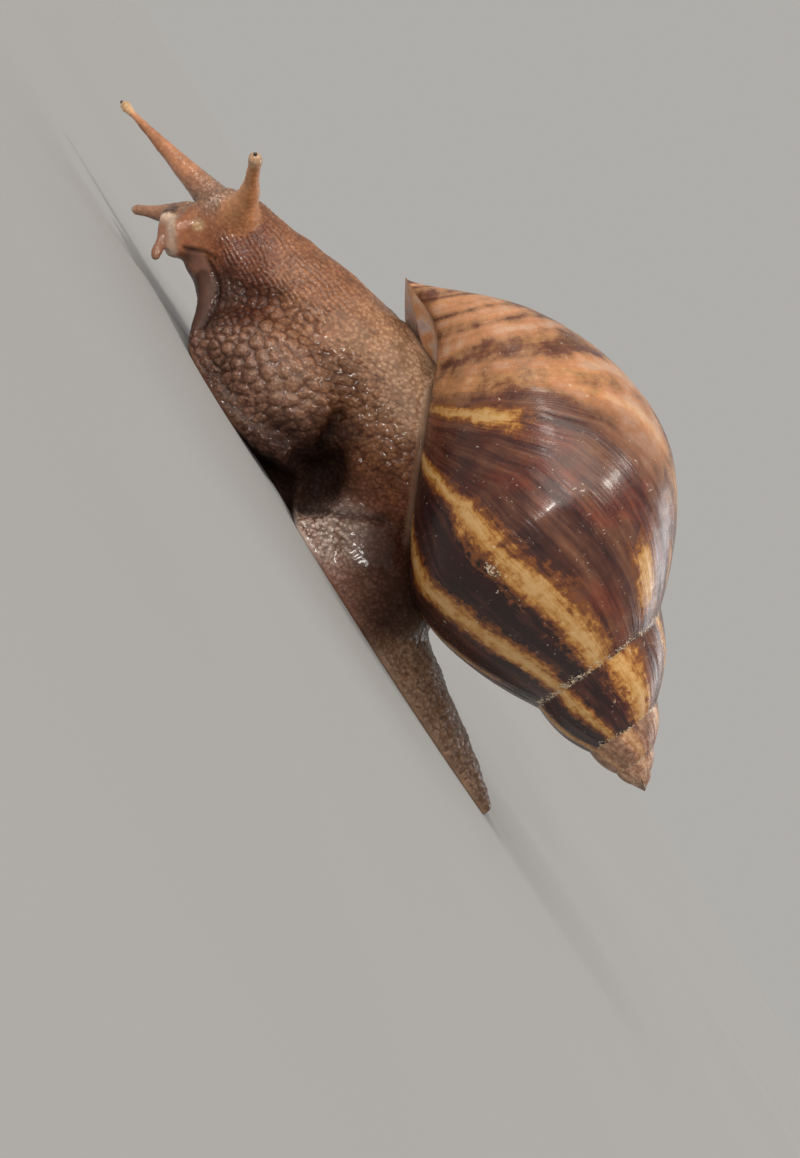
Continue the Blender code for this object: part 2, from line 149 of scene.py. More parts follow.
def link_mesh(name: str, mesh: bpy.types.Mesh) -> bpy.types.Object:
    """Put a mesh into the scene as an object at the origin."""
    obj = bpy.data.objects.new(name, mesh)
    bpy.context.scene.collection.objects.link(obj)
    return obj


def mesh_of(name: str, bm: bmesh.types.BMesh) -> bpy.types.Mesh:
    """Turn a bmesh into a mesh, and free it."""
    mesh = bpy.data.meshes.new(name)
    bm.to_mesh(mesh)
    bm.free()
    return mesh


def coordinates(mesh: bpy.types.Mesh) -> np.ndarray:
    """The places of a mesh's vertices, in metres."""
    flat = np.empty(len(mesh.vertices) * 3)
    mesh.vertices.foreach_get("co", flat)
    return flat.reshape(-1, 3)


def normals(mesh: bpy.types.Mesh) -> np.ndarray:
    """The normals of a mesh's vertices."""
    flat = np.empty(len(mesh.vertices) * 3)
    mesh.vertex_normals.foreach_get("vector", flat)
    return flat.reshape(-1, 3)


def move_to(mesh: bpy.types.Mesh, points: np.ndarray) -> None:
    """Give a mesh's vertices new places, in metres."""
    mesh.vertices.foreach_set("co", points.ravel())
    mesh.update()


def bake(obj: bpy.types.Object, name: str) -> bpy.types.Object:
    """Replace an object by the mesh that its modifiers leave.

    Args:
        obj: The object, which is removed.
        name: The name of the new one.

    Returns:
        The new object, without modifiers.
    """
    graph = bpy.context.evaluated_depsgraph_get()
    mesh = bpy.data.meshes.new_from_object(obj.evaluated_get(graph))
    bpy.data.objects.remove(obj, do_unlink=True)
    mesh.name = name
    return link_mesh(name, mesh)


def reskin(obj: bpy.types.Object, name: str, voxel: float, easing: int, share: float = 1.0) -> bpy.types.Object:
    """Make overlapping closed shapes one closed skin of even faces.

    Args:
        obj: The shapes as one object, which is removed.
        name: The name of the new object.
        voxel: The grain in millimetres.
        easing: How many rounds of smoothing follow.
        share: The share of the faces that is kept.

    Returns:
        The skin.
    """
    remesh = obj.modifiers.new("skin", "REMESH")
    remesh.mode = "VOXEL"
    remesh.voxel_size = voxel * MM
    ease = obj.modifiers.new("ease", "SMOOTH")
    ease.factor, ease.iterations = 0.5, easing
    if share < 1:
        obj.modifiers.new("thin", "DECIMATE").ratio = share
    return bake(obj, name)


def subtract(obj: bpy.types.Object, cutter: bpy.types.Object, name: str) -> bpy.types.Object:
    """Cut a closed shape out of another, and remove the cutter."""
    cut = obj.modifiers.new("cut", "BOOLEAN")
    cut.operation, cut.object, cut.solver = "DIFFERENCE", cutter, "EXACT"
    result = bake(obj, name)
    bpy.data.objects.remove(cutter, do_unlink=True)
    return result


def loft(bm: bmesh.types.BMesh, rings: np.ndarray) -> None:
    """Skin closed rings in order, and close both ends.

    Args:
        bm: The bmesh that the closed tube is added to.
        rings: Points in layout millimetres, as an array of rings by points by 3.
    """
    count, around = rings.shape[:2]
    made = bmesh.ops.create_grid(bm, x_segments=count - 1, y_segments=around, size=1.0)["verts"]
    places = metres(rings)
    for vert in made:
        row = round((vert.co.x + 1) / 2 * (count - 1))
        column = round((vert.co.y + 1) / 2 * around) % around
        vert.co = places[row, column]
    bmesh.ops.remove_doubles(bm, verts=made, dist=1e-7)
    rim = [edge for edge in bm.edges if edge.is_boundary]
    bmesh.ops.holes_fill(bm, edges=rim, sides=0)
    bmesh.ops.recalc_face_normals(bm, faces=bm.faces)


def oval_ring(middle: np.ndarray, side: np.ndarray, up: np.ndarray, half_width: float, half_height: float,
              count: int, square: float = 2.0) -> np.ndarray:
    """A ring of points on a superellipse; square = 2 is an ellipse, and more is boxier."""
    angle = TAU * np.arange(count) / count
    c, s = np.cos(angle), np.sin(angle)
    x = np.sign(c) * np.abs(c) ** (2 / square) * half_width
    y = np.sign(s) * np.abs(s) ** (2 / square) * half_height
    return middle + np.outer(x, side) + np.outer(y, up)


# ---------------------------------------------------------------- nodes
class Wiring:
    """One material, with short ways to add and join its nodes."""

    def __init__(self, name: str) -> None:
        """Start a material with a Principled shader."""
        self.material = bpy.data.materials.new(name)
        self.material.use_nodes = True
        self.tree = self.material.node_tree
        self.shader = self.tree.nodes["Principled BSDF"]

    def node(self, kind: str, **settings: object) -> bpy.types.Node:
        """Add a node of a kind, with its properties set."""
        made = self.tree.nodes.new(kind)
        for key, value in settings.items():
            setattr(made, key, value)
        return made

    def put(self, socket: Socket, value: Value) -> None:
        """Link a socket to another, or set its value."""
        if isinstance(value, bpy.types.NodeSocket):
            self.tree.links.new(value, socket)
        elif isinstance(value, tuple) and len(value) == 3 and socket.type == "RGBA":
            socket.default_value = (*value, 1.0)
        else:
            socket.default_value = value

    def surface(self, **values: Value) -> None:
        """Set the shader's sockets; an underscore in a key stands for a space."""
        for key, value in values.items():
            self.put(self.shader.inputs[key.replace("_", " ")], value)

    def place(self, per_mm: float = 1.0) -> Socket:
        """Object coordinates in millimetres, times a scale."""
        mapping = self.node("ShaderNodeMapping")
        mapping.inputs["Scale"].default_value = (per_mm / MM,) * 3
        self.put(mapping.inputs["Vector"], self.node("ShaderNodeTexCoord").outputs["Object"])
        return mapping.outputs["Vector"]

    def uv(self, name: str) -> tuple[Socket, Socket]:
        """Both parts of one of the piece's own UV maps."""
        split = self.node("ShaderNodeSeparateXYZ")
        self.put(split.inputs[0], self.node("ShaderNodeUVMap", uv_map=name).outputs["UV"])
        return split.outputs[0], split.outputs[1]

    def attribute(self, name: str) -> bpy.types.Node:
        """One of the piece's own attributes."""
        return self.node("ShaderNodeAttribute", attribute_name=name)

    def maths(self, operation: str, first: Value, second: Value = 0.0, clamp: bool = False) -> Socket:
        """A sum of two numbers."""
        made = self.node("ShaderNodeMath", operation=operation, use_clamp=clamp)
        self.put(made.inputs[0], first)
        self.put(made.inputs[1], second)
        return made.outputs[0]

    def join(self, x: Value, y: Value = 0.0, z: Value = 0.0) -> Socket:
        """A vector of three numbers."""
        made = self.node("ShaderNodeCombineXYZ")
        for socket, value in zip(made.inputs, (x, y, z)):
            self.put(socket, value)
        return made.outputs[0]

    def spread(self, value: Socket, low: float, high: float, to_low: float = 0.0, to_high: float = 1.0) -> Socket:
        """Take a range of a number smoothly to another range."""
        made = self.node("ShaderNodeMapRange", interpolation_type="SMOOTHSTEP")
        for key, number in zip(("Value", "From Min", "From Max", "To Min", "To Max"),
                               (value, low, high, to_low, to_high)):
            self.put(made.inputs[key], number)
        return made.outputs[0]

    def blend(self, share: Value, first: Value, second: Value, mode: str = "MIX") -> Socket:
        """Mix two colours."""
        made = self.node("ShaderNodeMix", data_type="RGBA", blend_type=mode)
        for index, value in ((0, share), (6, first), (7, second)):
            self.put(made.inputs[index], value)
        return made.outputs[2]

    def ramp(self, value: Socket, stops: tuple[tuple[float, Tone], ...]) -> Socket:
        """Turn a number into a colour through a ramp."""
        made = self.node("ShaderNodeValToRGB")
        elements = made.color_ramp.elements
        while len(elements) < len(stops):
            elements.new(1.0)
        for element, (position, tone) in zip(elements, stops):
            element.position, element.color = position, (*tone, 1.0)
        self.put(made.inputs[0], value)
        return made.outputs[0]

    def noise(self, vector: Socket, scale: float, detail: float = 3.0, rough: float = 0.55,
              bend: float = 0.0) -> Socket:
        """Cloudy noise from 0 to 1."""
        made = self.node("ShaderNodeTexNoise")
        for key, value in zip(("Vector", "Scale", "Detail", "Roughness", "Distortion"),
                              (vector, scale, detail, rough, bend)):
            self.put(made.inputs[key], value)
        return made.outputs["Fac"]

    def cells(self, vector: Socket, scale: float, feature: str = "F1", spread: float = 1.0) -> bpy.types.Node:
        """Voronoi cells."""
        made = self.node("ShaderNodeTexVoronoi", feature=feature)
        for key, value in zip(("Vector", "Scale", "Randomness"), (vector, scale, spread)):
            self.put(made.inputs[key], value)
        return made

    def bump(self, height: Socket, strength: Value, depth: float, below: Socket | None = None) -> Socket:
        """Raise the surface by a height; depth is in millimetres."""
        made = self.node("ShaderNodeBump")
        self.put(made.inputs["Height"], height)
        self.put(made.inputs["Strength"], strength)
        self.put(made.inputs["Distance"], depth * MM)
        if below is not None:
            self.put(made.inputs["Normal"], below)
        return made.outputs[0]


# ---------------------------------------------------------------- shell
@dataclass(frozen=True)
class ShellForm:
    """A dextral spiral about an axis that runs from the apex forwards to the base.

    A place on it is t, in turns before the lip, and a share across the whorl.
    """

    apex: Triple = (62.0, -6.0, 23.0)
    pitch: float = math.radians(8.8)
    lip_drop: float = math.radians(45.0)
    turns: float = 4.6
    suture_r: tuple[float, float] = (16.5, 1.84)  # at the lip, and growth in a turn
    suture_z: tuple[float, float] = (33.2, 2.02)
    periphery_r: tuple[float, float] = (26.2, 1.30)
    periphery_drop: float = 23.0
    base: Triple = (85.8, 11.5, 2.0)  # from the apex, lag before the lip, and its power
    base_round: tuple[float, float] = (2.0, 1.3)
    base_full: tuple[float, float] = (0.88, 1.15)
    beak: Triple = (73.0, 13.0, 2.6)  # where it starts, its length, and how far it bends down
    lip_lag: float = 0.08
    bulge: float = 0.075

    def suture(self, t: np.ndarray | float) -> tuple[np.ndarray, np.ndarray]:
        """Radius of the suture, and its distance from the apex."""
        return self.suture_r[0] * self.suture_r[1] ** t, self.suture_z[0] * self.suture_z[1] ** t

    def periphery(self, t: np.ndarray | float) -> tuple[np.ndarray, np.ndarray]:
        """Radius of the widest line, and its distance from the apex."""
        return self.periphery_r[0] * self.periphery_r[1] ** t, self.suture(t)[1] + self.periphery_drop

    def base_end(self, t: np.ndarray) -> np.ndarray:
        """How far from the apex the whorl ends on the axis."""
        return self.base[0] - self.base[1] * np.maximum(0.0, -t) ** self.base[2]

    def spire(self, t: np.ndarray, v: np.ndarray) -> tuple[np.ndarray, np.ndarray]:
        """Profile of a whorl above the last one, between two sutures."""
        (r0, z0), (r1, z1) = self.suture(t), self.suture(t + 1)
        swell = self.bulge * np.sin(np.pi * v)
        return r0 + (r1 - r0) * v + swell * (z1 - z0), z0 + (z1 - z0) * v - swell * (r1 - r0)

    def body(self, t: np.ndarray, up: np.ndarray, down: np.ndarray) -> tuple[np.ndarray, np.ndarray]:
        """Profile of the last whorl.

        Args:
            t: Turns before the lip, at or below 0.
            up: Share of the way from the suture to the widest line.
            down: Share of the way from there to the base.

        Returns:
            Radius, and distance from the apex.
        """
        settle = eased((t + 1) / 0.14)
        start, now, target = self.periphery(-1.0), self.periphery(t), self.suture(0.0)
        rp = now[0] + (target[0] - start[0]) * (1 - settle)
        zp = now[1] + (target[1] - start[1]) * (1 - settle)
        rs, zs = self.suture(t)
        swell = self.bulge * np.sin(np.pi * up)
        grown = (rs + (rp - rs) * (1 - (1 - up) ** 1.75), zs + (zp - zs) * up)
        young = (rs + (rp - rs) * up + swell * (zp - zs), zs + (zp - zs) * up - swell * (rp - rs))
        upper = [y + (g - y) * settle for y, g in zip(young, grown)]
        w = 0.55 * np.sin(down * np.pi / 2) + 0.45 * down
        under = eased((-t - 0.35) / 0.4)
        bend = self.base_round[0] + (self.base_round[1] - self.base_round[0]) * under
        full = self.base_full[0] + (self.base_full[1] - self.base_full[0]) * under
        lower = (rp * np.maximum(0.0, 1 - w ** bend) ** full, zp + (self.base_end(t) - zp) * w)
        above = down <= 0
        return np.where(above, upper[0], lower[0]), np.where(above, upper[1], lower[1])

    def place(self, t: np.ndarray, radius: np.ndarray, along: np.ndarray) -> np.ndarray:
        """A point of the shell in the layout."""
        axis = np.array((-math.cos(self.pitch), 0, math.sin(self.pitch)))
        right, top = np.array((0, 1.0, 0)), np.array((math.sin(self.pitch), 0, math.cos(self.pitch)))
        angle = -t * TAU - self.lip_drop
        start, length, bend = self.beak
        drop = bend * eased((along - start) / length)
        outwards = np.cos(angle)[..., None] * right + np.sin(angle)[..., None] * top
        return (np.array(self.apex) + along[..., None] * axis + radius[..., None] * outwards
                - drop[..., None] * top)


@dataclass(frozen=True)
class Streak:
    """A pale flame along a growth line; turn is where, and start and end are shares across the whorl."""

    turn: float
    half_width: float
    start: float = -0.2
    end: float = 1.2
    lean: float = 0.0
    strength: float = 1.0
    flare: float = 0.0  # how much wider it grows towards the suture


@dataclass
class Shell:
    """The shell: spire and last whorl with growth ridges, a rounded lip and flame markings."""

    form: ShellForm = field(default_factory=ShellForm)
    rows: int = 288  # in a turn
    spire_bands: int = 22
    body_bands: tuple[int, int] = (60, 130)
    ridge: float = 0.09  # depth of the growth ridges
    apex_depth: float = 0.35  # how far below the tip of the cone the first whorl closes
    across_upper: float = 0.29  # where the next suture lies across a whorl
    growth_across: tuple[float, ...] = (0.0, 0.3, 0.5, 0.6, 0.68, 0.75, 0.82, 0.9, 1.0)
    growth_lag: tuple[float, ...] = (0.0, 0.05, 0.085, 0.13, 0.19, 0.28, 0.40, 0.62, 0.9)
    tone_turn: tuple[float, ...] = (-1.80, -1.74, -1.70, -1.66, -1.60, -1.56, -1.48, -1.40, -1.0, -0.80, -0.74,
                                    -0.70, -0.64, -0.60, -0.52, -0.45, -0.40, -0.36, -0.30, -0.24, -0.10, 0.9)
    tone_dark: tuple[float, ...] = (0.6, 0.9, 0.9, 0.5, 0.85, 0.6, 0.3, 0.5, 0.6, 0.8, 0.7,
                                    0.9, 1.0, 0.5, 0.45, 0.4, 0.3, 0.25, 0.35, 0.5, 0.45, 0.5)
    streaks: tuple[Streak, ...] = (
        Streak(-0.715, 0.015, lean=0.012, flare=0.3), Streak(-0.61, 0.0145, flare=1.0),
        Streak(-0.485, 0.019, 0.04, 0.21),
        Streak(-0.415, 0.009, 0.04, 0.16), Streak(-0.45, 0.022, 0.60, 1.1), Streak(-0.368, 0.012, 0.14, 0.66),
        Streak(-0.35, 0.030, 0.60, 1.1, strength=0.7), Streak(-0.285, 0.020, 0.3, 0.7, strength=0.7), Streak(-0.20, 0.036, 0.5, 1.1, strength=0.6),
        Streak(-0.17, 0.010, 0.05, 0.5), Streak(-0.09, 0.014, -0.2, 0.7), Streak(0.02, 0.03, 0.0, 1.1, strength=0.6),
        Streak(0.24, 0.05, 0.6, 1.1, strength=0.5), Streak(0.5, 0.06, 0.8, 1.1, strength=0.5),
        Streak(-0.80, 0.012, 0.1, 0.6), Streak(-0.87, 0.018), Streak(-0.95, 0.013, 0.05, 0.7), Streak(-1.03, 0.017),
        Streak(-1.12, 0.013), Streak(-1.22, 0.018), Streak(-1.31, 0.012), Streak(-1.39, 0.017),
        Streak(-1.525, 0.040), Streak(-1.665, 0.019), Streak(-1.78, 0.02), Streak(-1.89, 0.024),
        Streak(-2.0, 0.02), Streak(-2.12, 0.025), Streak(-2.27, 0.02), Streak(-2.4, 0.03), Streak(-2.56, 0.03),
        Streak(-2.72, 0.025), Streak(-2.88, 0.03),
    )

    def lag(self, across: np.ndarray) -> np.ndarray:
        """How many turns a growth line falls back, from the suture to a share across the whorl."""
        return np.interp(across, self.growth_across, self.growth_lag)

    def relief(self, turn: np.ndarray, across: np.ndarray) -> np.ndarray:
        """Height of the growth ridges, in millimetres."""
        random = np.random.default_rng(SEED)
        total = np.zeros_like(turn)
        for waves in (9, 17, 31, 47, 68, 90):
            phase, share = random.uniform(0, TAU), random.uniform(0.5, 1.0)
            total += share * np.sin(TAU * waves * turn + phase + 0.8 * np.sin(5 * across + phase)) / waves ** 0.25
        return self.ridge * total / 2.2

    def flame(self, turn: np.ndarray, across: np.ndarray) -> np.ndarray:
        """How far inside a pale streak a place is: 1 in its middle, 0 at its edge, below 0 outside."""
        best = np.full_like(turn, -3.0)
        for streak in self.streaks:
            middle = streak.turn + streak.lean * np.sin(across * 9.0)
            width = streak.half_width * (1 + streak.flare * np.maximum(0.0, 1 - across / 0.55))
            inside = 1 - np.abs(turn - middle) / width
            ends = np.minimum(across - streak.start, streak.end - across) / 0.06
            best = np.maximum(best, np.minimum(inside, np.minimum(ends, 1.0)) * streak.strength)
        return np.clip(best, -3.0, 1.0)

    def build(self) -> bpy.types.Object:
        """Build the shell.

        Returns:
            The object, with UV maps growth, marks and wear.
        """
        spire_rows = round((self.form.turns - 1) * self.rows)
        bands = sum(self.body_bands)
        bm = bmesh.new()
        bmesh.ops.create_grid(bm, x_segments=spire_rows, y_segments=self.spire_bands, size=1.0)
        split = len(bm.verts)
        bmesh.ops.create_grid(bm, x_segments=self.rows, y_segments=bands, size=1.0)
        mesh = mesh_of("shell_visual", bm)
        flat = (coordinates(mesh)[:, :2] + 1) / 2
        spire, body = flat[:split], flat[split:]
        points = np.empty((len(flat), 3))
        turn, across, t_all = (np.empty(len(flat)) for _ in range(3))

        t, v = (spire[:, 0] - 1) * spire_rows / self.rows - 1, spire[:, 1]
        across[:split] = self.across_upper * v
        turn[:split] = t + self.lag(across[:split])
        t_all[:split] = t
        points[:split] = self.raised(lambda a, b: self.form.place(a, *self.form.spire(a, b)), t, v,
                                     self.relief(turn[:split], across[:split]) * self.fade(v, 0.1))

        t, v = body[:, 0] - 1, body[:, 1]
        up, down = self.halves(v)
        radius, along = self.form.body(t, up, down)
        start = self.form.suture(t)[1]
        across[split:] = np.clip((along - start) / (self.form.base_end(t) - start), 0, 1)
        turn[split:] = t + self.lag(across[split:])
        t_all[split:] = t
        height = self.relief(turn[split:], across[split:]) * self.fade(v, 0.04) * eased((t + 1) / 0.04)
        points[split:] = self.raised(self.whorl, t, v, height * eased((1 - v) / 0.2))

        move_to(mesh, metres(points))
        corners = np.empty(len(mesh.loops), dtype=np.int64)
        mesh.loops.foreach_get("vertex_index", corners)
        crust = np.maximum(eased(1 - across / 0.055), eased((across - 0.262) / 0.028) * (t_all < -1))
        patch = bell((turn + 0.630) / 0.010) * bell((across - 0.335) / 0.040)
        for name, first, second in (("growth", turn, across), ("marks", self.flame(turn, across), self.dark(turn)),
                                    ("wear", np.maximum(crust, patch * 1.15), -t_all / 5)):
            layer = mesh.uv_layers.new(name=name)
            layer.data.foreach_set("uv", np.stack([first, second], 1)[corners].ravel())
        return link_mesh("shell_visual", self.close(mesh))

    def halves(self, v: np.ndarray) -> tuple[np.ndarray, np.ndarray]:
        """Split a share across the grid into the parts above and below the widest line."""
        middle = self.body_bands[0] / sum(self.body_bands)
        return np.clip(v / middle, 0, 1), np.clip((v - middle) / (1 - middle), 0, 1)

    def whorl(self, t: np.ndarray, v: np.ndarray) -> np.ndarray:
        """A point of the last whorl, with the lip's base end lagging behind."""
        lag = self.form.lip_lag * np.maximum(0.0, (t + 0.35) / 0.35) ** 2
        turn = t - lag * v ** 1.5
        return self.form.place(turn, *self.form.body(turn, *self.halves(v)))

    def fade(self, v: np.ndarray, width: float) -> np.ndarray:
        """0 at both edges of a band and 1 inside it."""
        return eased(v / width) * eased((1 - v) / width)

    def dark(self, turn: np.ndarray) -> np.ndarray:
        """How dark the ground colour is along the growth."""
        return np.interp(turn, self.tone_turn, self.tone_dark)

    def raised(self, place: Callable[[np.ndarray, np.ndarray], np.ndarray], t: np.ndarray, v: np.ndarray,
               height: np.ndarray) -> np.ndarray:
        """Raise points of a surface along its outward normals.

        Args:
            place: The surface, from t and a share across.
            t: Turns.
            v: Shares across.
            height: How far each point is raised.

        Returns:
            The points.
        """
        step = 1e-4
        points = place(t, v)
        along = place(t + step, v) - place(t - step, v)
        inside = np.clip(v, step, 1 - step)
        side = place(t, inside + step) - place(t, inside - step)
        return points - unit(np.cross(side, along)) * height[:, None]

    def close(self, mesh: bpy.types.Mesh) -> bpy.types.Mesh:
        """Weld the whorls along the suture, roll the lip in, and close the mouth and the apex."""
        bm = bmesh.new()
        bm.from_mesh(mesh)
        bpy.data.meshes.remove(mesh)
        bmesh.ops.remove_doubles(bm, verts=bm.verts, dist=4e-7)
        apex = Vector(metres(self.form.place(np.zeros(1), np.zeros(1), np.full(1, self.apex_depth))[0]))
        rims = [edge for edge in bm.edges if edge.is_boundary]
        tip = [edge for edge in rims if (edge.verts[0].co - apex).length < 0.012]
        lip = [edge for edge in rims if (edge.verts[0].co - apex).length >= 0.012]
        middle = sum((edge.verts[0].co for edge in lip), Vector()) / len(lip)
        mouth = bm.verts.layers.float.new("mouth")
        self.draw_in(bm, tip, apex, (0.0,))
        for vert in self.draw_in(bm, lip, middle, (0.985, 0.95, 0.80, 0.45, 0.0)):
            vert[mouth] = 1.0
        bmesh.ops.recalc_face_normals(bm, faces=bm.faces)
        for face in bm.faces:
            face.smooth = True
        return mesh_of("shell_visual", bm)

    def draw_in(self, bm: bmesh.types.BMesh, rim: list[bmesh.types.BMEdge], middle: Vector,
                scales: tuple[float, ...]) -> list[bmesh.types.BMVert]:
        """Close a rim by extruding it towards a place, ring by ring.

        Args:
            bm: The mesh.
            rim: The open edges.
            middle: Where they meet.
            scales: The size of each ring beside the last; the last is 0.

        Returns:
            The new points.
        """
        drawn = []
        for scale in scales:
            made = bmesh.ops.extrude_edge_only(bm, edges=rim)["geom"]
            ring = [item for item in made if isinstance(item, bmesh.types.BMVert)]
            rim = [item for item in made if isinstance(item, bmesh.types.BMEdge) and item.is_boundary]
            for vert in ring:
                vert.co = middle + (vert.co - middle) * scale
            drawn += ring
        bmesh.ops.remove_doubles(bm, verts=ring, dist=1e-6)
        return [vert for vert in drawn if vert.is_valid]

    def dress(self, obj: bpy.types.Object, finish: "ShellFinish") -> None:
        """Give the shell its finish, and take the place of its plain solid."""
        obj.data.materials.append(finish.make())
        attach(obj, BODY)
        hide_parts("shell")
        LOG.info("shell: %d faces", len(obj.data.polygons))


@dataclass(frozen=True)
class ShellFinish:
    """Glossy horny shell: chocolate ground, ochre flames, worn pale spire and a chalky suture."""

    darkest: Tone = (0.018, 0.007, 0.007)
    chocolate: Tone = (0.062, 0.020, 0.014)
    brown: Tone = (0.150, 0.062, 0.034)
    dun: Tone = (0.24, 0.145, 0.09)
    rust: Tone = (0.17, 0.055, 0.016)
    ochre: Tone = (0.33, 0.135, 0.030)
    straw: Tone = (0.46, 0.235, 0.066)
    cream: Tone = (0.54, 0.33, 0.135)
    russet: Tone = (0.135, 0.045, 0.024)
    tan: Tone = (0.34, 0.165, 0.075)
    coral: Tone = (0.50, 0.22, 0.10)
    pink: Tone = (0.56, 0.34, 0.22)
    worn: Tone = (0.30, 0.15, 0.085)
    lip_painted_sheen: Tone = (0.50, 0.37, 0.33)
    lip_dark: Tone = (0.26, 0.130, 0.095)
    chalk: Tone = (0.60, 0.43, 0.26)
    flake: Tone = (0.76, 0.68, 0.56)

    def make(self) -> bpy.types.Material:
        """Build the material."""
        w = Wiring("shell_horn")
        place = w.place()
        turn, across = w.uv("growth")
        flame, dark = w.uv("marks")
        crust, age = w.uv("wear")
        lines = w.join(w.maths("MULTIPLY", turn, 260.0), w.maths("MULTIPLY", across, 5.0))
        fine = w.noise(lines, 1.0, 3.0, 0.6)
        coarse = w.noise(w.join(w.maths("MULTIPLY", turn, 60.0), w.maths("MULTIPLY", across, 4.0)), 1.0, 3.0, 0.6)
        cloud = w.noise(place, 0.22, 4.0, 0.6)
        ragged = w.noise(place, 0.75, 5.0, 0.68)
        torn = w.noise(w.join(w.maths("MULTIPLY", turn, 110.0), w.maths("MULTIPLY", across, 34.0)), 1.0, 4.0, 0.6)

        tone = w.maths("SUBTRACT", w.maths("MULTIPLY", coarse, 1.15), w.maths("MULTIPLY", dark, 0.66))
        tone = w.maths("ADD", tone, w.maths("MULTIPLY", cloud, 0.6))
        tone = w.maths("ADD", tone, w.maths("MULTIPLY", w.maths("SUBTRACT", fine, 0.9), 0.55))
        ground = w.ramp(tone, ((0.0, self.darkest), (0.28, self.chocolate), (0.58, self.brown), (0.92, self.dun)))
        ruddy = w.blend(1.0, ground, (1.22, 0.80, 0.72), "MULTIPLY")
        ground = w.blend(w.spread(w.noise(place, 0.13, 3.0, 0.6), 0.48, 0.66), ground, ruddy)

        swollen = w.noise(w.join(w.maths("MULTIPLY", turn, 26.0), w.maths("MULTIPLY", across, 7.0)), 1.0, 2.0, 0.5)
        edge = w.maths("ADD", flame, w.maths("MULTIPLY", w.maths("SUBTRACT", ragged, 0.5), 2.2))
        edge = w.maths("ADD", edge, w.maths("MULTIPLY", w.maths("SUBTRACT", torn, 0.5), 1.3))
        edge = w.maths("ADD", edge, w.maths("MULTIPLY", w.maths("SUBTRACT", swollen, 0.5), 1.8))
        edge = w.maths("ADD", edge, w.maths("MULTIPLY", w.maths("SUBTRACT", fine, 0.5), 0.9))
        pale = w.ramp(w.spread(edge, -0.45, 1.25), (
            (0.0, self.rust), (0.25, self.rust), (0.45, self.ochre), (0.72, self.straw), (1.0, self.cream)))
        colour = w.blend(w.spread(edge, -0.45, 0.05), ground, pale)

        base = w.maths("MULTIPLY", w.spread(across, 0.62, 0.82), w.spread(turn, -0.5, -0.2))
        above = w.maths("MULTIPLY", w.spread(turn, -0.45, -0.36), w.spread(across, 0.12, 0.35))
        base = w.maths("MAXIMUM", base, w.maths("MULTIPLY", above, 0.85))
        banded = w.noise(w.join(w.maths("MULTIPLY", turn, 8.5), w.maths("MULTIPLY", across, 3.0)), 1.0, 1.0, 0.5, 0.3)
        banded = w.maths("ADD", banded, w.maths("MULTIPLY", w.maths("SUBTRACT", cloud, 0.5), 0.75))
        banded = w.maths("ADD", banded, w.maths("MULTIPLY", w.maths("SUBTRACT", coarse, 0.5), 0.06))
        warm = w.ramp(banded, ((0.32, self.chocolate), (0.41, self.russet), (0.49, self.tan), (0.58, self.coral),
                               (0.70, self.pink)))
        colour = w.blend(w.maths("MULTIPLY", base, 0.9), colour, warm)

        old = w.spread(w.maths("ADD", age, w.maths("MULTIPLY", w.maths("SUBTRACT", ragged, 0.5), 0.16)), 0.36, 0.62)
        eroded = w.ramp(w.noise(place, 0.9, 5.0, 0.7), (
            (0.3, self.brown), (0.45, self.worn), (0.62, self.pink), (0.8, self.cream)))
        colour = w.blend(w.maths("MULTIPLY", old, 0.85), colour, eroded)

        grit = w.noise(place, 3.2, 4.0, 0.7)
        heap = w.maths("ADD", w.maths("MULTIPLY", crust, 0.50), w.maths("MULTIPLY", ragged, 0.9))
        crumb = w.spread(w.maths("ADD", heap, grit), 1.43, 1.49)
        chalky = w.ramp(w.noise(place, 2.0, 4.0, 0.7), ((0.3, self.dun), (0.46, self.chalk), (0.62, self.flake)))
        colour = w.blend(crumb, colour, chalky)

        scratch = w.noise(w.join(w.maths("MULTIPLY", turn, 55.0), w.maths("MULTIPLY", across, 90.0)), 1.6, 2.0, 0.5)
        specks = w.maths("MULTIPLY", w.spread(scratch, 0.70, 0.76), w.spread(cloud, 0.42, 0.62))
        dots = w.spread(w.noise(place, 1.5, 3.0, 0.6, 0.6), 0.655, 0.71)
        dots = w.maths("MULTIPLY", dots, w.spread(w.noise(place, 0.25, 2.0), 0.46, 0.62))
        flecks = w.maths("MAXIMUM", specks, dots)
        # the mouth's lip: dark, grey and pink-orange tones set by noise; the grey is a painted sheen
        lip = w.ramp(w.noise(place, 0.32, 3.0, 0.6), (
            (0.34, self.lip_dark), (0.44, self.lip_painted_sheen), (0.56, self.pink), (0.68, self.coral)))
        colour = w.blend(w.attribute("mouth").outputs["Fac"], colour, lip)
        colour = w.blend(w.maths("MULTIPLY", flecks, 0.55), colour, self.flake)

        height = w.maths("ADD", w.maths("MULTIPLY", fine, 0.8), w.maths("MULTIPLY", coarse, 0.6))
        normal = w.bump(height, 0.75, 0.14)
        rough_spots = w.maths("ADD", w.maths("MULTIPLY", crumb, 1.0), w.maths("MULTIPLY", old, 0.35))
        normal = w.bump(w.maths("MULTIPLY", grit, w.maths("ADD", rough_spots, 0.06)), 0.9, 0.30, normal)
        normal = w.bump(w.maths("MULTIPLY", flecks, 1.0), 0.4, 0.05, normal)
        roughness = w.maths("ADD", w.spread(w.noise(place, 0.7, 4.0, 0.6), 0.35, 0.65, 0.20, 0.38),
                            w.maths("MULTIPLY", rough_spots, 0.3), clamp=True)
        w.surface(Base_Color=colour, Roughness=roughness, Normal=normal, IOR=1.5, Coat_Weight=0.2,
                  Coat_Roughness=0.12, Metallic=0.0, Specular_IOR_Level=0.38)
        return w.material


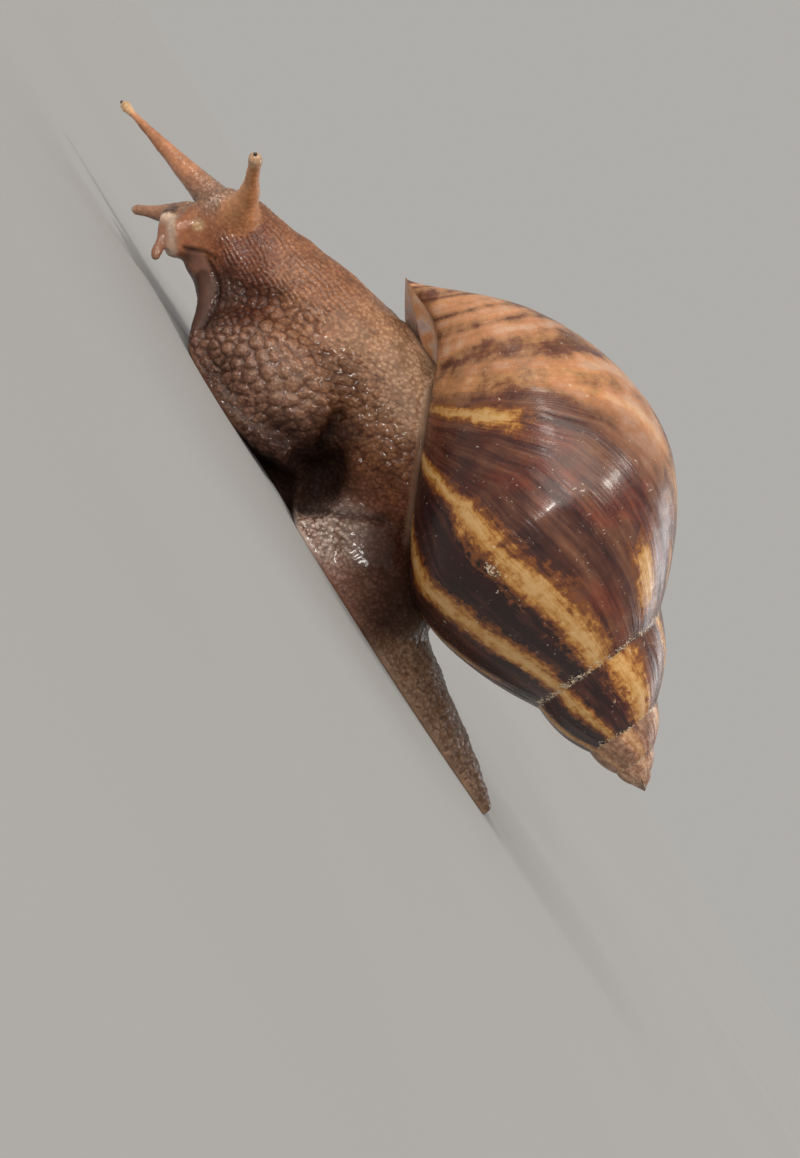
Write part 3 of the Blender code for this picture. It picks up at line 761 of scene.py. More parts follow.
# ---------------------------------------------------------------- flesh
@dataclass(frozen=True)
class Feeler:
    """A tentacle: where its root and tip are, its radius near the tip and how it thickens, and its knob."""

    name: str
    root: Triple
    tip: Triple
    shaft: float
    swell: float  # how much thicker it is at its root
    power: float
    knob: float
    tone: Tone
    tip_tone: Tone
    eye: str = ""
    bow: Triple = (0.0, 0.0, 0.0)  # how far its middle stands off the straight line
    club: float = 1.0  # how many times longer than wide its knob is
    eye_sunk: float = 0.0

    def rings(self, count: int = 20, steps: int = 44) -> np.ndarray:
        """Rings from the root to the rounded tip."""
        root, tip = np.array(self.root), np.array(self.tip)
        length = float(np.linalg.norm(tip - root))
        forward = (tip - root) / length
        side = unit(np.cross(forward, (0.3, 0.2, 1.0)))
        up = np.cross(side, forward)
        rings = []
        for k in range(steps + 1):
            distance = length * (k / steps) ** 0.8
            left = length - distance
            stalk = self.shaft + self.swell * (left / length) ** self.power
            half = self.knob * self.club
            ball = self.knob * math.sqrt(max(0.0, 1 - ((left - half) / half) ** 2))
            radius = max(ball, 0.1 * self.knob) if left < half else max(ball, stalk)
            share = distance / length
            middle = root + forward * distance + np.array(self.bow) * (4 * share * (1 - share))
            rings.append(oval_ring(middle, side, up, radius, radius, count))
        return np.array(rings)

    def near(self, points: np.ndarray) -> tuple[np.ndarray, np.ndarray]:
        """Share of the way to the tip, and distance beyond the stalk's surface, of each point."""
        root, tip = np.array(self.root), np.array(self.tip)
        length = float(np.linalg.norm(tip - root))
        share = np.clip((points - root) @ (tip - root) / length ** 2, 0, 1)
        middle = root + share[:, None] * (tip - root) + (4 * share * (1 - share))[:, None] * np.array(self.bow)
        beyond = np.linalg.norm(points - middle, axis=1)
        return share, beyond - (self.shaft + self.swell * (1 - share) ** self.power)


@dataclass(frozen=True)
class Lobe:
    """An oval swelling that the skin takes in: its middle, half sizes, and the direction of its longest half."""

    name: str
    middle: Triple
    halves: Triple
    along: Triple
    upward: Triple

    def mirrored(self) -> "Lobe":
        """The same oval on the other flank."""
        (mx, my, mz), (ax, ay, az), (ux, uy, uz) = self.middle, self.along, self.upward
        return Lobe(self.name + "_right", (mx, -my, mz), self.halves, (ax, -ay, az), (ux, -uy, uz))

    def add(self, bm: bmesh.types.BMesh) -> None:
        """Add the closed oval to a bmesh."""
        x = unit(np.array(self.along, dtype=float))
        z = np.array(self.upward, dtype=float)
        z = unit(z - x * (z @ x))
        turn = Matrix(np.stack([x, np.cross(z, x), z], 1).tolist()).to_4x4()
        made = bmesh.ops.create_uvsphere(bm, u_segments=20, v_segments=12, radius=1.0)["verts"]
        bmesh.ops.scale(bm, vec=[half * MM for half in self.halves], verts=made)
        place = Matrix.Translation(metres(np.array(self.middle)).tolist()) @ turn
        bmesh.ops.transform(bm, matrix=place, verts=made)


@dataclass(frozen=True)
class Patch:
    """A stretch of skin with a grain and a tone (cell and height of its bumps, in millimetres); in some patches the
    tone holds painted shade or painted glints.
    """

    name: str
    middle: Triple
    reach: float
    cell: float
    height: float
    tone: Tone
    firmness: float = 1.0
    flank: Flank = Flank.BOTH
    wet: float = 1.0
    grain: float = 1.0

    def weight(self, points: np.ndarray) -> np.ndarray:
        """How much each point belongs to it."""
        middle = np.array(self.middle)
        if self.flank is Flank.BOTH:
            points = points * (1, 0, 1) + np.abs(points) * (0, 1, 0)
            middle = np.array((middle[0], abs(middle[1]), middle[2]))
        return self.firmness * bell(np.linalg.norm(points - middle, axis=1) / self.reach)


@dataclass(frozen=True)
class Crease:
    """A furrow on the flank along a line, with painted shade in its bottom, or a smooth band with a tone of its own;
    its line is seen from the side.
    """

    name: str
    line: tuple[Triple, ...]
    depth: float
    width: float
    flank: Flank = Flank.BOTH
    tone: Tone | None = None
    least_y: float = 3.0
    shade: float = 0.6  # painted shade: how much darker its bottom is

    def cut(self, points: np.ndarray) -> np.ndarray:
        """How deep each point lies in it, as a share of its depth."""
        outer = np.abs(points[:, 1]) if self.flank is Flank.BOTH else -points[:, 1]
        points = points * (1, 0, 1)
        path = smooth_stations(self.line, 6) * (1, 0, 1)
        near = np.full(len(points), np.inf)
        for a, b in zip(path, path[1:]):
            share = np.clip((points - a) @ (b - a) / ((b - a) @ (b - a)), 0, 1)
            near = np.minimum(near, np.linalg.norm(points - a - share[:, None] * (b - a), axis=1))
        return bell(near / self.width) * eased((outer - self.least_y) / 1.0)


@dataclass
class Skin:
    """All the flesh as one skin: foot, neck, head, tentacles and mantle."""

    voxel: float = 0.44
    fine_x: float = -24.0  # ahead of this the skin has twice the detail
    foot: tuple[tuple[float, ...], ...] = (  # x, half width, height of its underside, thickness
        (53.0, 0.8, 0.0, 1.2), (48.0, 3.6, 0.0, 2.6), (38.0, 8.0, 0.0, 4.4), (24.0, 11.4, 0.0, 7.0),
        (10.0, 12.6, 0.0, 11.0), (3.0, 12.8, 0.0, 13.0), (-1.0, 12.4, 1.0, 13.0), (-5.0, 12.0, 3.2, 13.0),
        (-8.5, 12.2, 3.6, 13.0), (-12.0, 12.6, 2.2, 14.0), (-18.0, 12.8, 0.4, 15.0), (-22.0, 12.6, 0.0, 15.0),
        (-28.0, 11.4, 0.0, 13.0), (-32.5, 9.4, 1.8, 10.0), (-36.5, 7.4, 5.6, 6.5), (-40.0, 6.0, 7.4, 4.5),
        (-43.5, 3.6, 7.2, 3.0))
    foot_rim: float = 0.26
    web: Triple = (-15.0, 4.5, 3.0)  # behind this x the middle of the sole stays down: half width, and easing
    neck: tuple[tuple[float, ...], ...] = (  # x, y and z of the middle, half width, half height
        (24.0, 1.0, 4.5, 7.0, 4.0), (17.0, 1.0, 8.5, 9.5, 8.0), (10.0, 1.5, 14.0, 11.0, 14.0),
        (0.0, 1.5, 16.5, 11.4, 14.6), (-10.0, 1.0, 16.2, 11.0, 14.8), (-19.0, 0.4, 15.2, 10.2, 14.4),
        (-28.0, 0.0, 14.6, 8.8, 12.6), (-36.0, 0.0, 14.2, 7.6, 10.2), (-42.0, -0.4, 14.2, 6.6, 8.0),
        (-46.5, -0.9, 14.4, 5.8, 6.2), (-50.0, -1.6, 13.6, 4.4, 4.4))
    snout_back: Triple = (-45.6, -0.6, 12.4)
    snout_front: Triple = (-47.5, -4.9, 6.2)
    snout_right: Triple = (-0.35, 0.90, -0.10)
    snout_half: tuple[float, float] = (4.3, 4.4)
    feelers: tuple[Feeler, ...] = (
        Feeler("upper_left", (-43.9, -1.8, 14.2), (-47.6, -19.0, 24.2), 0.92, 3.4, 2.0, 1.30,
               (0.60, 0.285, 0.135), (0.48, 0.31, 0.19), "eye_left", (0.5, 0.0, 0.7), 1.25),
        Feeler("upper_right", (-47.5, 2.0, 15.6), (-73.2, 7.6, 10.6), 0.70, 2.6, 1.6, 1.15,
               (0.43, 0.200, 0.105), (0.60, 0.40, 0.22), "eye_right", club=1.3, eye_sunk=0.22),
        Feeler("lower_left", (-51.5, -3.4, 8.4), (-45.2, -6.7, 2.4), 0.74, 0.45, 1.5, 1.12,
               (0.24, 0.115, 0.070), (0.24, 0.120, 0.075), club=2.1),
        Feeler("lower_right", (-50.0, -1.2, 9.8), (-56.1, 0.4, 3.1), 0.66, 1.7, 1.3, 1.05,
               (0.30, 0.155, 0.095), (0.55, 0.40, 0.26), club=1.4),
    )
    lobes: tuple[Lobe, ...] = (
        Lobe("brow", (-49.6, -1.4, 10.4), (3.0, 2.6, 2.4), (-0.5, -0.3, -0.8), (-0.8, -0.3, 0.5)),
        Lobe("jowl", (-44.6, -2.6, 11.6), (4.2, 3.6, 3.8), (-0.5, -0.3, -0.8), (-0.8, -0.3, 0.5)),
    )
    flank_lobes: tuple[Lobe, ...] = (  # on the left flank, and mirrored on the right
        Lobe("front", (-20.0, -6.6, 8.2), (14.0, 6.7, 9.4), (1.0, 0.0, 0.20), (-0.20, 0.0, 1.0)),
        Lobe("rear", (11.2, -6.4, 4.4), (12.4, 6.1, 9.6), (1.0, 0.0, 0.05), (-0.05, 0.0, 1.0)),
    )
    scoops: tuple[Lobe, ...] = (  # cut out of the flanks before the lobes are joined on
        Lobe("notch_slope", (-0.6, -15.0, 9.6), (9.5, 5.4, 7.5), (0.62, 0.0, 0.78), (-0.78, 0.0, 0.62)),
        Lobe("notch", (-4.6, -15.2, 7.0), (7.6, 9.8, 5.2), (0.78, 0.0, -0.62), (0.62, 0.0, 0.78)),
        Lobe("notch_floor", (-5.9, -14.0, 1.2), (2.4, 8.5, 4.4), (1.0, 0.0, 0.0), (0.0, 0.0, 1.0)),
    )
    patches: tuple[Patch, ...] = (
        Patch("lobe_front", (-21.5, -11.5, 8.0), 5.5, 2.35, 0.60, (0.260, 0.140, 0.090), wet=0.9, grain=0.8),
        Patch("lobe_front_top", (-18.5, -12.0, 12.0), 3.5, 2.0, 0.48, (0.225, 0.120, 0.070), wet=0.7, grain=0.8),
        # painted shade: the front lobe's lower rim and rear end are darkened under the lobe's bulge
        Patch("lobe_front_rim_painted_shade", (-22.0, -12.5, 1.5), 4.5, 1.3, 0.40, (0.058, 0.022, 0.014), wet=0.45, grain=1.2),
        Patch("lobe_front_end_painted_shade", (-13.5, -12.0, 5.0), 3.0, 1.2, 0.30, (0.045, 0.018, 0.011), wet=0.35, grain=1.2),
        Patch("hollow", (-35.5, -7.5, 8.8), 3.6, 0.9, 0.14, (0.070, 0.028, 0.017), 1.5, wet=0.8),
        Patch("flank_front", (-31.5, -9.5, 12.5), 3.2, 1.9, 0.40, (0.100, 0.024, 0.008), 1.5, wet=0.7),
        Patch("flank_top", (-26.2, -11.0, 16.5), 3.6, 2.4, 0.48, (0.35, 0.185, 0.105), wet=0.5),
        Patch("neck_front", (-39.5, -7.5, 14.5), 4.0, 0.95, 0.16, (0.165, 0.044, 0.014), wet=0.8),
        Patch("neck_top", (-31.0, 0.0, 27.0), 9.0, 0.9, 0.16, (0.27, 0.116, 0.052)),
        Patch("neck_side", (-27.0, -9.0, 20.5), 5.0, 0.95, 0.15, (0.27, 0.112, 0.047), wet=0.8),
        Patch("neck_back", (-19.5, -6.0, 25.5), 4.5, 0.85, 0.16, (0.35, 0.195, 0.110), wet=0.6),
        Patch("near_shell", (-11.0, -9.5, 27.0), 6.5, 0.9, 0.14, (0.41, 0.26, 0.165), wet=0.5),
        Patch("column", (-12.0, -11.0, 18.5), 5.0, 1.15, 0.32, (0.150, 0.068, 0.034), wet=0.35),
        Patch("fold_shadow", (-8.0, -11.0, 12.5), 2.6, 1.2, 0.24, (0.036, 0.012, 0.006), 2.0, wet=0.35),
        Patch("column_middle", (-1.5, -11.0, 15.5), 4.0, 1.1, 0.30, (0.155, 0.066, 0.031), wet=0.4),
        Patch("column_foot", (3.0, -10.0, 10.5), 4.5, 1.0, 0.14, (0.090, 0.026, 0.010), wet=0.3),
        # rear lobe: its skin tone is lightened and greyed by painted glints on the fine beads
        Patch("rear_side_painted_glints", (4.0, -11.5, 4.5), 4.2, 0.62, 0.24, (0.42, 0.33, 0.29), wet=1.2, grain=2.0),
        Patch("rear_low", (11.0, -11.5, 1.5), 5.0, 0.80, 0.14, (0.185, 0.080, 0.050)),
        # painted shadow of the shell: near-black tones on the rear of the body under it
        Patch("rear_back_painted_shadow", (15.0, -10.0, 6.0), 4.5, 0.85, 0.12, (0.020, 0.009, 0.006), 2.5, wet=0.1),
        Patch("rear_shade", (9.5, -10.0, 9.2), 3.6, 0.85, 0.12, (0.024, 0.007, 0.003), 2.5, wet=0.1),
        Patch("tail_top", (38.0, 0.0, 6.0), 12.0, 1.3, 0.20, (0.17, 0.105, 0.068), 1.0, wet=0.6),
        Patch("head_top", (-49.5, -2.0, 14.0), 3.6, 0.72, 0.12, (0.30, 0.175, 0.115), wet=1.3),
        Patch("snout_side", (-45.6, -5.5, 9.0), 2.8, 0.72, 0.02, (0.33, 0.125, 0.055), 3.0, grain=0.4),
        Patch("cheek_spot", (-46.4, -6.6, 11.2), 0.55, 0.72, 0.0, (0.66, 0.46, 0.26), 14.0, Flank.LEFT),
        Patch("lips", (-48.3, -5.8, 6.2), 1.15, 0.9, 0.0, (0.62, 0.48, 0.38), 40.0, Flank.LEFT, grain=0.3),
        Patch("lips_high", (-49.7, -5.2, 7.3), 0.85, 0.9, 0.0, (0.60, 0.46, 0.36), 40.0, Flank.LEFT, grain=0.3),
        Patch("lips_low", (-46.6, -5.7, 5.0), 1.05, 0.9, 0.0, (0.58, 0.43, 0.33), 40.0, Flank.LEFT, grain=0.3),
        # painted shadow in the mouth's recess between the lower tentacle's root and the lips
        Patch("mouth_recess_painted_shadow", (-51.4, -3.4, 8.4), 0.7, 0.9, 0.0, (0.085, 0.048, 0.030), 30.0, Flank.LEFT),
        Patch("chin", (-43.0, -1.5, 8.4), 2.0, 0.9, 0.0, (0.07, 0.040, 0.026), 3.0),
        # painted shade: near-black, matt tones inside the notch under the front lobe
        Patch("notch_inside_painted_shade", (-5.0, -6.2, 6.5), 3.6, 1.2, 0.10, (0.016, 0.008, 0.006), 12.0, wet=0.05),
        Patch("notch_low_painted_shade", (-5.9, -8.5, 1.5), 2.6, 1.2, 0.10, (0.018, 0.009, 0.007), 12.0, wet=0.05),
    )
    creases: tuple[Crease, ...] = (
        Crease("foot_band_high", ((-43.4, 0.0, 8.0), (-41.2, 0.0, 8.3), (-39.6, 0.0, 7.6)), 0.0, 1.1,
               tone=(0.165, 0.080, 0.058), least_y=1.0),
        Crease("foot_band", ((-39.6, 0.0, 7.6), (-37.2, 0.0, 7.0), (-35.4, 0.0, 5.3), (-34.0, 0.0, 3.4)), 0.0, 1.1,
               tone=(0.070, 0.035, 0.027), least_y=1.0),
        Crease("notch_crease", ((-7.6, 0.0, 9.0), (-9.2, 0.0, 12.0), (-10.6, 0.0, 14.5)), 1.1, 0.9),
        Crease("lobe_step", ((-33.0, 0.0, 6.5), (-31.0, 0.0, 10.0), (-27.5, 0.0, 13.4), (-22.0, 0.0, 15.8),
                             (-16.5, 0.0, 16.6), (-11.0, 0.0, 14.8)), 0.10, 1.2, shade=0.25),
        Crease("neck_fold", ((-38.0, 0.0, 10.5), (-34.5, 0.0, 12.0), (-31.0, 0.0, 16.0)), 0.30, 1.2, shade=0.4),
        Crease("chin_fold", ((-40.8, 0.0, 10.6), (-42.6, 0.0, 9.8), (-44.6, 0.0, 7.6)), 0.3, 0.38),
        Crease("foot_seam", ((-42.0, 0.0, 9.6), (-39.2, 0.0, 9.4), (-36.4, 0.0, 8.6), (-34.0, 0.0, 6.2),
                             (-32.6, 0.0, 3.8)), 0.40, 0.45),
        Crease("column_fold", ((-6.0, 0.0, 12.0), (-2.0, 0.0, 14.5), (3.0, 0.0, 15.5)), 0.15, 1.0, shade=0.2),
        Crease("rear_fold", ((-1.5, 0.0, 2.0), (0.7, 0.0, 5.0), (3.5, 0.0, 8.6), (6.0, 0.0, 11.6)), 0.30, 0.8),
    )
    bead_size: tuple[float, float] = (0.85, 0.98)  # along a row, and from row to row
    bead_round: float = 11.5  # the neck's radius
    bead_x: Triple = (-45.0, -10.0, 9.0)  # where the rows start and end, and the height above which they lie
    wrinkle_run: Triple = (0.53, 0.0, 0.85)  # the way the cells lengthen beside the shell
    wrinkle_pull: float = 0.55
    wrinkle_x: float = -22.0
    seat: float = 2.2  # no skin lies deeper than this inside the shell
    mantle_width: float = 1.1
    mantle_proud: float = 0.35
    mantle_tone: Tone = (0.10, 0.060, 0.042)
    nodes: tuple[str, ...] = (
        "mantle_collar", "column", "foot_front", "foot_middle", "foot_tail", "head", "neck", "tentacle_upper_left",
        "tentacle_upper_right", "tentacle_lower_left", "tentacle_lower_right")

    # ---- shapes
    def foot_rings(self) -> np.ndarray:
        """A flat sole under a loaf that rises from its rim to the middle."""
        angle = TAU * np.arange(56) / 56
        c, s = np.cos(angle), np.sin(angle)
        rings = []
        for x, half, low, thick in smooth_stations(self.foot, 6):
            y = half * np.sign(c) * np.abs(c) ** 0.8
            crown = thick * (self.foot_rim + (1 - self.foot_rim) * (1 - np.abs(c) ** 2.2))
            web_x, web_half, web_ease = self.web
            under = low * eased((np.abs(y) - web_half) / web_ease) if x > web_x else low
            z = np.where(s > 0, low + crown * s + 0.5, under + 1.5 * s)
            rings.append(np.stack([np.full_like(y, x), y, z], 1))
        return np.array(rings)

    def neck_rings(self) -> np.ndarray:
        """Upright oval sections from the tail side of the column to the back of the head."""
        across, up = np.array((0.0, 1.0, 0.0)), np.array((0.0, 0.0, 1.0))
        return np.array([oval_ring(np.array((x, y, z)), across, up, half_width, half_height, 56, 2.2)
                         for x, y, z, half_width, half_height in smooth_stations(self.neck, 6)])

    def snout_rings(self) -> np.ndarray:
        """The snout, boxy in section, from inside the head to the lips."""
        back, front = np.array(self.snout_back), np.array(self.snout_front)
        forward = unit(front - back)
        side = np.array(self.snout_right)
        side = unit(side - forward * (side @ forward))
        top = np.cross(side, forward)
        rings = []
        for s in np.linspace(0, 1, 21):
            swell = 1.0 + 0.04 * math.sin(math.pi * s) - 0.34 * float(eased((s - 0.15) / 0.75))
            width, depth = self.snout_half
            rings.append(oval_ring(back + (front - back) * s, side, top, width * swell, depth * swell, 40, 3.4))
        return np.array(rings)

    def single(self, lobe: Lobe) -> bpy.types.Object:
        """One oval as an object."""
        bm = bmesh.new()
        lobe.add(bm)
        return link_mesh(lobe.name, mesh_of(lobe.name, bm))

    def flanks(self, name: str, lobes: tuple[Lobe, ...]) -> bpy.types.Object:
        """Ovals on the left flank, and their mirror images on the right, as one object."""
        bm = bmesh.new()
        for lobe in lobes:
            lobe.add(bm)
            lobe.mirrored().add(bm)
        return link_mesh(name, mesh_of(name, bm))

    def joined(self, parts: list[bpy.types.Object], name: str, easing: int) -> bpy.types.Object:
        """Join overlapping closed objects, which are removed, into one skin."""
        bm = bmesh.new()
        for part in parts:
            bm.from_mesh(part.data)
            bpy.data.objects.remove(part, do_unlink=True)
        return reskin(link_mesh(name, mesh_of(name, bm)), name, self.voxel, easing)

    def raw(self, shell: bpy.types.Object) -> bpy.types.Object:
        """The bare body: its forms joined, the notch cut, and what the shell hides taken out.

        Args:
            shell: The finished shell.

        Returns:
            A closed skin with a flat sole.
        """
        bm = bmesh.new()
        for rings in (self.foot_rings(), self.neck_rings(), self.snout_rings()):
            loft(bm, rings)
        for lobe in self.lobes:
            lobe.add(bm)
        for feeler in self.feelers:
            loft(bm, feeler.rings())
        body = reskin(link_mesh("body", mesh_of("body", bm)), "body", self.voxel, 1)
        for scoop in self.scoops:
            for lobe in (scoop, scoop.mirrored()):
                body = subtract(body, self.single(lobe), "body")
        body = self.joined([body, self.flanks("lobes", self.flank_lobes)], "body", 8)
        core = link_mesh("core", shell.data.copy())
        shrink = core.modifiers.new("shrink", "DISPLACE")
        shrink.strength, shrink.mid_level = -1.3 * MM, 0
        core = reskin(core, "core", 0.9, 2, 0.06)
        body = reskin(subtract(body, core, "body"), "body", self.voxel, 3)
        bm = bmesh.new()
        bm.from_mesh(body.data)
        cut = bmesh.ops.bisect_plane(bm, geom=bm.verts[:] + bm.edges[:] + bm.faces[:], plane_co=(0, 0, 0),
                                     plane_no=(0, 0, -1), clear_outer=True)
        rim = [edge for edge in cut["geom_cut"] if isinstance(edge, bmesh.types.BMEdge)]
        filled = bmesh.ops.holes_fill(bm, edges=rim, sides=0)["faces"]
        bmesh.ops.triangulate(bm, faces=filled)
        fine = metres(np.array((self.fine_x, 0, 0)))[0]
        edges = {edge for face in bm.faces if face.calc_center_median().x < fine for edge in face.edges}
        bmesh.ops.subdivide_edges(bm, edges=sorted(edges, key=lambda edge: edge.index), cuts=1, use_grid_fill=True)
        ahead = [vert for vert in bm.verts if vert.co.x < fine - 0.0005 and vert.co.z > 0.0002]
        bmesh.ops.smooth_vert(bm, verts=ahead, factor=0.5, use_axis_x=True, use_axis_y=True, use_axis_z=True)
        bmesh.ops.recalc_face_normals(bm, faces=bm.faces)
        for face in bm.faces:
            face.smooth = True
        bpy.data.objects.remove(body, do_unlink=True)
        return link_mesh("snail_skin", mesh_of("snail_skin", bm))

    # ---- grain
    def scatter(self, points: np.ndarray, spacing: np.ndarray) -> np.ndarray:
        """Pick points so that each keeps its own spacing from the rest.

        Args:
            points: All the points.
            spacing: The least distance about each.

        Returns:
            The indexes of the chosen points.
        """
        tree = KDTree(len(points))
        for index, point in enumerate(points):
            tree.insert(point, index)
        tree.balance()
        free = np.ones(len(points), dtype=bool)
        chosen = []
        for index in np.random.default_rng(SEED).permutation(len(points)):
            if free[index]:
                chosen.append(index)
                for _, other, _ in tree.find_range(points[index], spacing[index]):
                    free[other] = False
        return np.array(chosen)

    def pebbles(self, points: np.ndarray, cell: np.ndarray) -> np.ndarray:
        """Rounded cells over the skin: 0 in the grooves between them, 1 on their tops."""
        long = np.array(self.wrinkle_run)
        pull = self.wrinkle_pull * eased((points[:, 0] - self.wrinkle_x) / 10)
        warp = np.array([noise.noise_vector(Vector(point) * 0.9) for point in points])
        stretched = points - (pull * (points @ long))[:, None] * long + 0.42 * warp
        seeds = self.scatter(stretched, cell * 0.80)
        tree = KDTree(len(seeds))
        for index in seeds:
            tree.insert(stretched[index], int(index))
        tree.balance()
        out = np.empty(len(points))
        for index, point in enumerate(stretched):
            (_, _, first), (_, _, second) = tree.find_n(point, 2)
            size = cell[index]
            edge = min(1.0, (second - first) / (0.7 * size))
            out[index] = edge * (2 - edge) * (1 - 0.45 * min(1.0, first / (0.75 * size)) ** 2)
        return out

    def bead_rows(self, points: np.ndarray) -> np.ndarray:
        """Beads in rows that run back along the neck: 0 between them, 1 on their tops."""
        long, around = self.bead_size
        middle = np.interp(points[:, 0], [row[0] for row in self.neck[::-1]], [row[2] for row in self.neck[::-1]])
        angle = np.arctan2(points[:, 2] - middle, np.abs(points[:, 1]) + 0.5)
        sway = np.array([noise.noise(Vector(point) * 0.35) for point in points])
        row = angle * self.bead_round / around + 0.9 * sway
        odd = np.floor(row) % 2
        along = points[:, 0] / long + 0.5 * odd + 1.3 * sway + 0.8 * np.sin(np.floor(row) * 12.9898)
        across, step = 2 * (row % 1) - 1, 2 * (along % 1) - 1
        return np.clip((1 - across ** 2) * (1 - 0.75 * step ** 2) * 1.25, 0, 1)

    def build(self, shell: bpy.types.Object) -> bpy.types.Object:
        """Build the skin around the shell.

        Args:
            shell: The finished shell, which the mantle follows.

        Returns:
            The object, with attributes tone, relief, grain and wet.
        """
        obj = self.raw(shell)
        mesh = obj.data
        places = coordinates(mesh)
        points = layout(places)
        outward = normals(mesh)
        tree = BVHTree.FromObject(shell, bpy.context.evaluated_depsgraph_get())
        gap = np.empty(len(points))
        for index, place in enumerate(places):
            hit, normal, _, distance = tree.find_nearest(place)
            inside = distance < self.seat * MM and (Vector(place) - hit).dot(normal) < 0
            gap[index] = (-distance if inside else distance) / MM

        weights = np.array([patch.weight(points) for patch in self.patches]) + 1e-6
        weights /= weights.sum(0)
        cell = weights.T @ np.array([patch.cell for patch in self.patches])
        height = weights.T @ np.array([patch.height for patch in self.patches])
        tone = weights.T @ np.array([patch.tone for patch in self.patches])
        wet = weights.T @ np.array([patch.wet for patch in self.patches])
        grain = weights.T @ np.array([patch.grain for patch in self.patches])
        for feeler in self.feelers:
            share, beyond = feeler.near(points)
            held = eased(1 - beyond / 1.2) * eased((share - 0.12) / 0.25)
            ends = eased((share - 0.82) / 0.12)[:, None]
            own = np.array(feeler.tone) * (1 - ends) + np.array(feeler.tip_tone) * ends
            tone += (own - tone) * held[:, None]
            height *= 1 - 0.85 * held
            grain *= 1 - 0.6 * held

        mantle = eased((self.mantle_width - gap) / 0.35) * eased((13.0 - points[:, 0]) / 4)
        mantle *= eased((points[:, 2] - 9.0) / 3)
        tone += (np.array(self.mantle_tone) - tone) * (mantle * 0.8)[:, None]
        wet *= 1 - 0.6 * mantle
        sole = eased((points[:, 2] - 0.15) / 0.8)
        calm = (1 - mantle) * sole
        variety = np.array([noise.noise(Vector(point) * 0.55) for point in points])
        # painted shade: the bottoms of the furrows darken the tone
        dark = np.zeros(len(points))
        for crease in self.creases:
            inside = crease.cut(points)
            if crease.tone:
                tone += (np.array(crease.tone) - tone) * eased(inside * 1.6)[:, None]
                calm *= 1 - 0.9 * eased(inside * 1.6)
                wet *= 1 - 0.5 * eased(inside * 1.6)
            dark = np.maximum(dark, inside * crease.shade * (crease.tone is None))
            wet *= 1 - 0.4 * inside
        tone *= (1 - dark)[:, None]
        relief = self.pebbles(points, np.maximum(cell * (1 + 0.45 * variety), 0.62))
        front, rear, low = self.bead_x
        rows = eased((points[:, 0] - front) / 4) * eased((rear - points[:, 0]) / 6)
        rows *= eased((points[:, 2] - low - 0.57 * (points[:, 0] + 40)) / 3) * eased((gap - 2) / 2)
        relief += (self.bead_rows(points) - relief) * rows
        lift = height * (relief - 0.6) * calm
        lift += mantle * self.mantle_proud * (1 - 0.35 * eased((gap - 0.9) / 1.0)) * sole
        lift -= 0.25 * bell((gap - self.mantle_width - 0.15) / 0.22) * eased((13.0 - points[:, 0]) / 4) * sole
        lumps = np.array([noise.noise(Vector(point) * 0.28) for point in points])
        lift += 0.30 * lumps * calm * eased((points[:, 0] + 60) / 12)
        for crease in self.creases:
            lift -= crease.depth * crease.cut(points) * sole
        hidden = gap < -0.2
        lift[hidden] = 0
        points += outward * lift[:, None]
        points[:, 2] = np.maximum(points[:, 2], 0.0)
        move_to(mesh, metres(points))
        strong = 0.25 + 0.75 * eased(height / 0.30)
        self.store(mesh, "relief", 1 - (1 - relief) * strong * calm)
        self.store(mesh, "grain", grain * calm)
        self.store(mesh, "wet", wet)
        paint = mesh.attributes.new("tone", "FLOAT_COLOR", "POINT")
        rgba = np.hstack([np.clip(tone, 0, 1), np.ones((len(points), 1))])
        paint.data.foreach_set("color", rgba.ravel())
        return obj

    def store(self, mesh: bpy.types.Mesh, name: str, values: np.ndarray) -> None:
        """Keep a number for each vertex as an attribute."""
        layer = mesh.attributes.new(name, "FLOAT", "POINT")
        layer.data.foreach_set("value", np.ascontiguousarray(values, dtype=np.float32))

    def dress(self, obj: bpy.types.Object, finish: "SkinFinish") -> None:
        """Give the skin its finish, and take the place of all the plain flesh."""
        obj.data.materials.append(finish.make())
        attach(obj, BODY)
        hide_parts(*self.nodes)
        LOG.info("skin: %d faces", len(obj.data.polygons))


